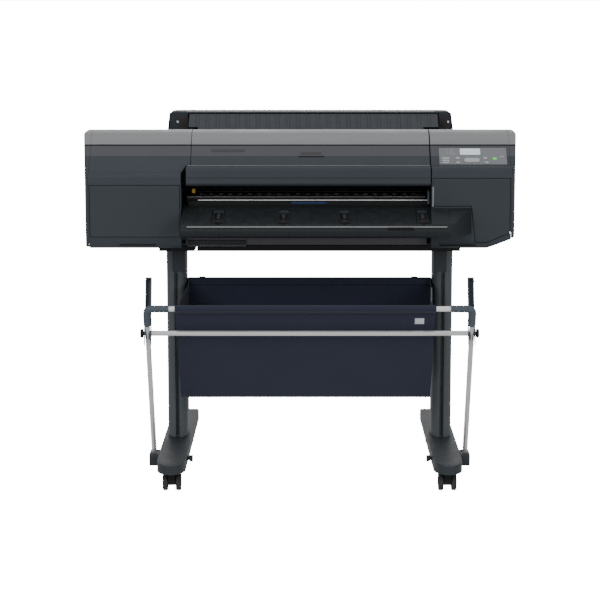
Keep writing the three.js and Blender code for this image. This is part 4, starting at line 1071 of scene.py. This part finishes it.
@dataclass
class RollUnit:
    """The covered roll holder at the back."""

    front: float = 418.5

    def build(self) -> None:
        """Builds the hood, the spindle and the guide, with a painted highlight along the hood's rim."""
        refine_all((
            ("roll_cover", "hood", 1.2),
            ("feed_guide", "ribbed", 0.4),
            ("roll_spindle", "black", 0.8),
            ("roll_stopper", "slate", 0.8),
        ))
        ride = {"body": BODY_OF["roll_cover"], "slot": "charcoal_plastic"}
        y = self.front
        places = (("left", (-341, -323), (-353, -348)), ("right", (397, 414), (420, 425)))
        for side, slot, tick in places:
            bar(f"{side}_hood_slot", "brown", (slot[0], y - 0.6, 948), (slot[1], y + 2, 972), 0.8, **ride)
            bar(f"{side}_hood_tick", "tube", (tick[0], y - 0.5, 957), (tick[1], y + 2, 963), 0.5, **ride)
        bar("hood_scoop", "black", (0, 423.3, 986.6), (50, 425.5, 988.6), 0.5, **ride)
        # hood_edge is a pale strip along the hood's top rim, a painted highlight.
        bar("hood_edge", "painted_highlight", (-326, 421.7, 986.9), (383, 431.0, 990.2), 1.2, **ride)


@dataclass
class Stand:
    """Feet, columns, stays, brackets and casters."""

    middle: float = 26.0
    spread: float = 370.0
    wheel_height: float = 25.0
    wheel_out: float = 17.5
    hub_out: float = 24.2

    def build(self) -> None:
        """Builds the stand."""
        for side in Side:
            x = self.middle + side.value * self.spread
            refine_all((
                (f"{side.word}_foot", "coat", 2.0),
                # The columns take the lightened copy of the feet's paint, painted light against the shade
                # under the body.
                (f"{side.word}_column", "lightened_column_paint", 1.5),
                (f"{side.word}_foot_bracket", "coat", 0.8),
            ))
            inner = -side.value
            ride = {"slot": "stand_paint"}
            groove = f"{side.word}_column_groove"
            bar(groove, "black_coat", (x - 1.2, 190.3, 96), (x + 1.2, 192, 556), 0.3, **ride)
            low, high = sorted((x + inner * 25, x - inner * 10))
            bar(f"{side.word}_column_plug", "slate", (low, 189.9, 560), (high, 192, 630.5), 1.0, **ride)
            for end in ("front", "rear"):
                self.caster(end, side, x)
        plates = (("left_top_plate", 0.8), ("top_stay", 0.8), ("rear_stay", 1.0))
        refine_all((node, "black_coat", bevel) for node, bevel in plates)
        for x in (-362, -330, 378, 412):
            screw(f"stand_screw_{x}", (x, 360, 632), Axis.Z, 5.0, slot="plate_paint")

    def caster(self, end: str, side: Side, x: float) -> None:
        """Builds one caster: its fork, its two turned wheels and their hub caps."""
        name = f"{end}_{side.word}_caster"
        Bench.refine(f"{name}_fork", "black", 0.8)
        low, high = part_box(f"{name}_wheels")
        middle = (low + high) / 2
        y = (middle.y - FRONT_Y) * 1000
        z = self.wheel_height
        body = BODY_OF[f"{name}_wheels"]
        pieces = []
        tyre = (
            (4, -7), (15, -7), (15.6, -6), (18.4, -5.8), (19, -6.9), (22.8, -6.9), (24.4, -5.6), (25, -3.4),
            (25, 3.4), (24.4, 5.6), (22.8, 6.9), (19, 6.9), (18.4, 5.8), (15.6, 6), (15, 7), (4, 7),
        )
        for way in (-1, 1):
            pieces.append(Bench.turned(f"{name}_tyre", tyre, (x + way * self.wheel_out, y, z), Axis.X, 56))
        pieces.append(Bench.turned(f"{name}_axle", ((4, -12), (4, 12)), (x, y, z), Axis.X, 24))
        wheels = Bench.join(f"{name}_wheels_shown", pieces)
        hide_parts(f"{name}_wheels")
        Bench.hand_over(wheels, "tread", body, "caster_rubber")
        cap = ((0.5, 0.2), (9, 0.2), (12.6, -0.2), (13.6, -1.2), (13.6, -3.0))
        for way in (-1, 1):
            stations = [(radius, way * reach) for radius, reach in cap]
            hub = Bench.turned(f"{name}_hub_{way}", stations, (x + way * self.hub_out, y, z), Axis.X, 40)
            Bench.hand_over(hub, "black", body, "caster_rubber")


@dataclass
class Basket:
    """The folding frame of the print basket."""

    leg_out: float = 51.0
    arm_half: float = 8.2

    def build(self) -> None:
        """Builds the tubes, arms, elbows and clamps."""
        for side in Side:
            refine_all((
                (f"{side.word}_leg_tube", "leg", 0.5),
                (f"{side.word}_side_arm", "grey_coat", 1.2),
                (f"{side.word}_elbow", "grey_coat", 0.8),
                (f"{side.word}_clamp_knob", "black", 0.8),
            ))
            x = Stand.middle + side.value * (Stand.spread + self.leg_out + self.arm_half)
            place = (x, -108.5, 577)
            screw(f"{side.word}_arm_screw", place, Axis.X, 3.4, body="basket_frame", slot="stand_paint")
        Bench.refine("upper_bar", "tube", 0.5)
        Bench.refine("lower_rod", "rod", 0.5)


@dataclass
class BasketCloth:
    """The cloth sling: one cloth from the stand's rear stay to the front bar, and its two side gussets.

    The line runs down the back, across the bottom and up the front in Y and Z.
    """

    back: tuple[float, float] = (-312.0, 364.0)
    front: tuple[float, float] = (-322.0, 352.0)
    line: tuple[tuple[float, float], ...] = (
        (240.0, 536.2), (235.0, 538.2), (229.2, 536.6), (227.2, 528.0), (221.0, 486.0),
        (211.0, 420.0), (201.5, 350.0), (193.0, 292.0), (180.0, 258.0), (150.0, 242.5),
        (97.5, 237.5), (50.0, 236.5), (22.0, 241.5), (8.0, 255.0), (-22.0, 295.0),
        (-70.0, 358.0), (-118.0, 422.0), (-160.0, 479.0), (-179.0, 505.0), (-188.0, 508.6),
        (-197.2, 511.6), (-199.3, 517.4), (-197.1, 523.2), (-190.4, 526.2), (-184.4, 524.0),
        (-181.0, 518.6), (-173.5, 505.6), (-166.0, 494.6),
    )
    thickness: float = 1.1
    columns: int = 120
    rows: int = 150
    fold_back: float = 183.0
    fold_front: float = 12.0
    gusset_share: tuple[float, float] = (0.065, 0.795)
    gusset_foot: float = 228.0
    gusset_run: float = 404.0
    gusset_head: float = 532.0
    gusset_fall: float = 20.0
    gusset_sag: float = 12.0
    gusset_in: float = 1.5

    def curve(self, share: float) -> tuple[float, float, float]:
        """Returns Y and Z at a share of the line's length, and the length up to there, in millimetres."""
        lengths = [0.0]
        for (y0, z0), (y1, z1) in zip(self.line, self.line[1:]):
            lengths.append(lengths[-1] + math.hypot(y1 - y0, z1 - z0))
        goal = share * lengths[-1]
        last = len(self.line) - 1
        index = max(0, min(last - 1, sum(1 for reach in lengths[1:-1] if reach <= goal)))
        t = (goal - lengths[index]) / (lengths[index + 1] - lengths[index])
        four = [self.line[max(0, min(last, index + step))] for step in (-1, 0, 1, 2)]

        def along(axis: int) -> float:
            """Returns one coordinate on a smooth curve through the four points."""
            a, b, c, d = (point[axis] for point in four)
            rise = -a + 3 * b - 3 * c + d
            bend = 2 * a - 5 * b + 4 * c - d
            return b + 0.5 * t * (c - a + t * (bend + t * rise))

        return along(0), along(1), goal

    def edges(self, y: float) -> tuple[float, float]:
        """Returns the left and right edge of the cloth at a depth."""
        share = min(1.0, max(0.0, (self.fold_back - y) / (self.fold_back - self.fold_front)))
        return tuple(a + (b - a) * share for a, b in zip(self.back, self.front))

    def build(self) -> None:
        """Builds the cloth, its gussets, its tag and the straps at the stay."""
        total = self.curve(1.0)[2]
        sling = WovenCloth(
            "navy sling cloth", Finishes.KINDS["cloth"].warp, Finishes.KINDS["cloth"].weft,
            seams=((total - 88) / 1000, (total - 70) / 1000, 0.034),
        ).material()
        cloth = self.weave("basket_cloth", self.columns, self.rows, self.main)
        self.declare(cloth, sling, (self.back[1] - self.back[0], total))
        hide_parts("front_cloth", "rear_cloth")
        for side in Side:
            gusset = self.weave(f"{side.word}_gusset", 60, 24, lambda a, b, s=side: self.gusset(s, a, b))
            self.declare(gusset, Finishes.get("cloth"), (420.0, 272.0))
        ride = {"slot": "basket_cloth"}
        for x in (-274, 319):
            bar(f"stay_strap_{x}", "hem", (x - 9, 227.5, 526), (x + 9, 244, 539.6), 1.2, **ride)
        BASKET_FRONT.patch("basket_tag", "label", (299, 323), (270, 291), 1.0, 0.4, 0.1)

    def weave(
        self, name: str, columns: int, rows: int, place: Callable[[float, float], tuple[Point, Point]]
    ) -> bpy.types.Object:
        """Makes a cloth from a grid whose corners are laid out one by one and then thickened."""
        Bench.clear()
        bpy.ops.mesh.primitive_grid_add(x_subdivisions=columns, y_subdivisions=rows, size=1)
        cloth = bpy.context.object
        cloth.name = name
        for loop in cloth.data.uv_layers.active.data:
            loop.uv = tuple(value / 1000 for value in place(*loop.uv)[1][:2])
        for vertex in cloth.data.vertices:
            vertex.co = at(*place(vertex.co.x + 0.5, vertex.co.y + 0.5)[0])
        Bench.apply(cloth, "SOLIDIFY", thickness=self.thickness / 1000, offset=0)
        Bench.smooth(cloth, 60)
        return cloth

    def main(self, across: float, share: float) -> tuple[Point, Point]:
        """Returns a place on the sling and on its flat pattern."""
        y, z, reach = self.curve(share)
        left, right = self.edges(y)
        x = left + across * (right - left)
        return (x, y, z), (across * (self.back[1] - self.back[0]), reach, 0)

    def gusset(self, side: Side, along: float, up: float) -> tuple[Point, Point]:
        """Returns a place on a side gusset, which hangs between the stay and the bar."""
        y0, z0, _ = self.curve(self.gusset_share[0] + along * self.gusset_share[1])
        top = self.gusset_head - self.gusset_fall * along - self.gusset_sag * math.sin(math.pi * along)
        y1 = self.gusset_foot - along * self.gusset_run
        y, z = y0 + (y1 - y0) * up, z0 + (top - z0) * up
        x = self.edges(y)[0 if side is Side.LEFT else 1] - side.value * self.gusset_in
        return (x, y, z), (227 - y, z - 240, 0)

    def declare(
        self, cloth: bpy.types.Object, finish: bpy.types.Material, flat: tuple[float, float],
    ) -> None:
        """Gives a cloth its finish and puts its place into its mesh."""
        cloth.data.materials.clear()
        cloth.data.materials.append(finish)
        start, end = at(26, self.fold_back, 250), at(26, self.fold_front, 250)
        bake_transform(cloth)
        flat[0] / 1000
        flat[1] / 1000


@dataclass
class Studio:
    """White floor, soft lights and the camera."""

    floor_size: float = 20000.0
    camera_place: Point = (0.019, -5.2356, 1.3036)
    tilt: float = 8.97
    lens: float = 114.0
    shift: float = -0.0117
    film: float = 36.0
    farthest: float = 30000.0
    floor_glow: float = 16.0
    surround: float = 0.55

    def build(self) -> None:
        """Builds the studio."""
        self.floor()
        self.lights()
        self.camera()

    def floor(self) -> None:
        """Lays a white floor that glows evenly."""
        Bench.clear()
        bpy.ops.mesh.primitive_plane_add(size=self.floor_size, location=(0, 0, -0.0005))
        floor = bpy.context.object
        floor.name = "floor"
        Bench.settle(floor)
        recipe = Recipe("white floor")
        haze = recipe.noise(1.5, 2.0)
        white = recipe.mix(haze, rgb(0.97, 0.97, 0.97), rgb(1.0, 1.0, 1.0))
        floor.data.materials.append(recipe.finish(
            Base_Color=white, Roughness=0.9, Emission_Color=white, Emission_Strength=self.floor_glow
        ))
        floor.visible_diffuse = False
        floor.visible_glossy = False

    def lights(self) -> None:
        """Hangs large soft lights and sets a white surround."""
        world = bpy.data.worlds.new("surround")
        bpy.context.scene.world = world
        world.use_nodes = True
        background = world.node_tree.nodes["Background"]
        background.inputs[0].default_value = rgb(1, 1, 1)
        background.inputs[1].default_value = self.surround
        for name, place, size, power in (
            ("key", (-2.2, -3.6, 2.2), (2.6, 2.0), 60),
            ("fill", (2.8, -3.6, 1.6), (2.2, 2.2), 46),
            ("top", (0.0, 0.2, 3.6), (3.2, 1.6), 14),
            ("rim", (0.0, 3.6, 2.6), (3.0, 1.6), 30),
        ):
            bpy.ops.object.light_add(type="AREA", location=place)
            light = bpy.context.object
            light.name = name
            light.data.shape = "RECTANGLE"
            light.data.size, light.data.size_y = size
            light.data.energy = power
            aim = Vector((0, 0, 0.75)) - light.location
            light.rotation_euler = aim.to_track_quat("-Z", "Y").to_euler()

    def camera(self) -> None:
        """Places the camera."""
        bpy.ops.object.camera_add(
            location=self.camera_place, rotation=(math.radians(90 - self.tilt), 0, 0)
        )
        camera = bpy.context.object
        camera.data.lens = self.lens
        camera.data.sensor_width = self.film
        camera.data.shift_x = self.shift
        camera.data.clip_end = self.farthest
        bpy.context.scene.camera = camera


def main() -> None:
    """Builds the machine from the inside out, then the studio."""
    logging.basicConfig(level=logging.INFO, format="%(message)s", stream=sys.stdout)
    for assembly in (
        BodyShell(), ControlPanel(), PrintMouth(), ExitGuide(), RollUnit(),
        Stand(), Basket(), BasketCloth(), Studio(),
    ):
        log.info("building %s", type(assembly).__name__)
        assembly.build()


if __name__ == "__main__":
    main()
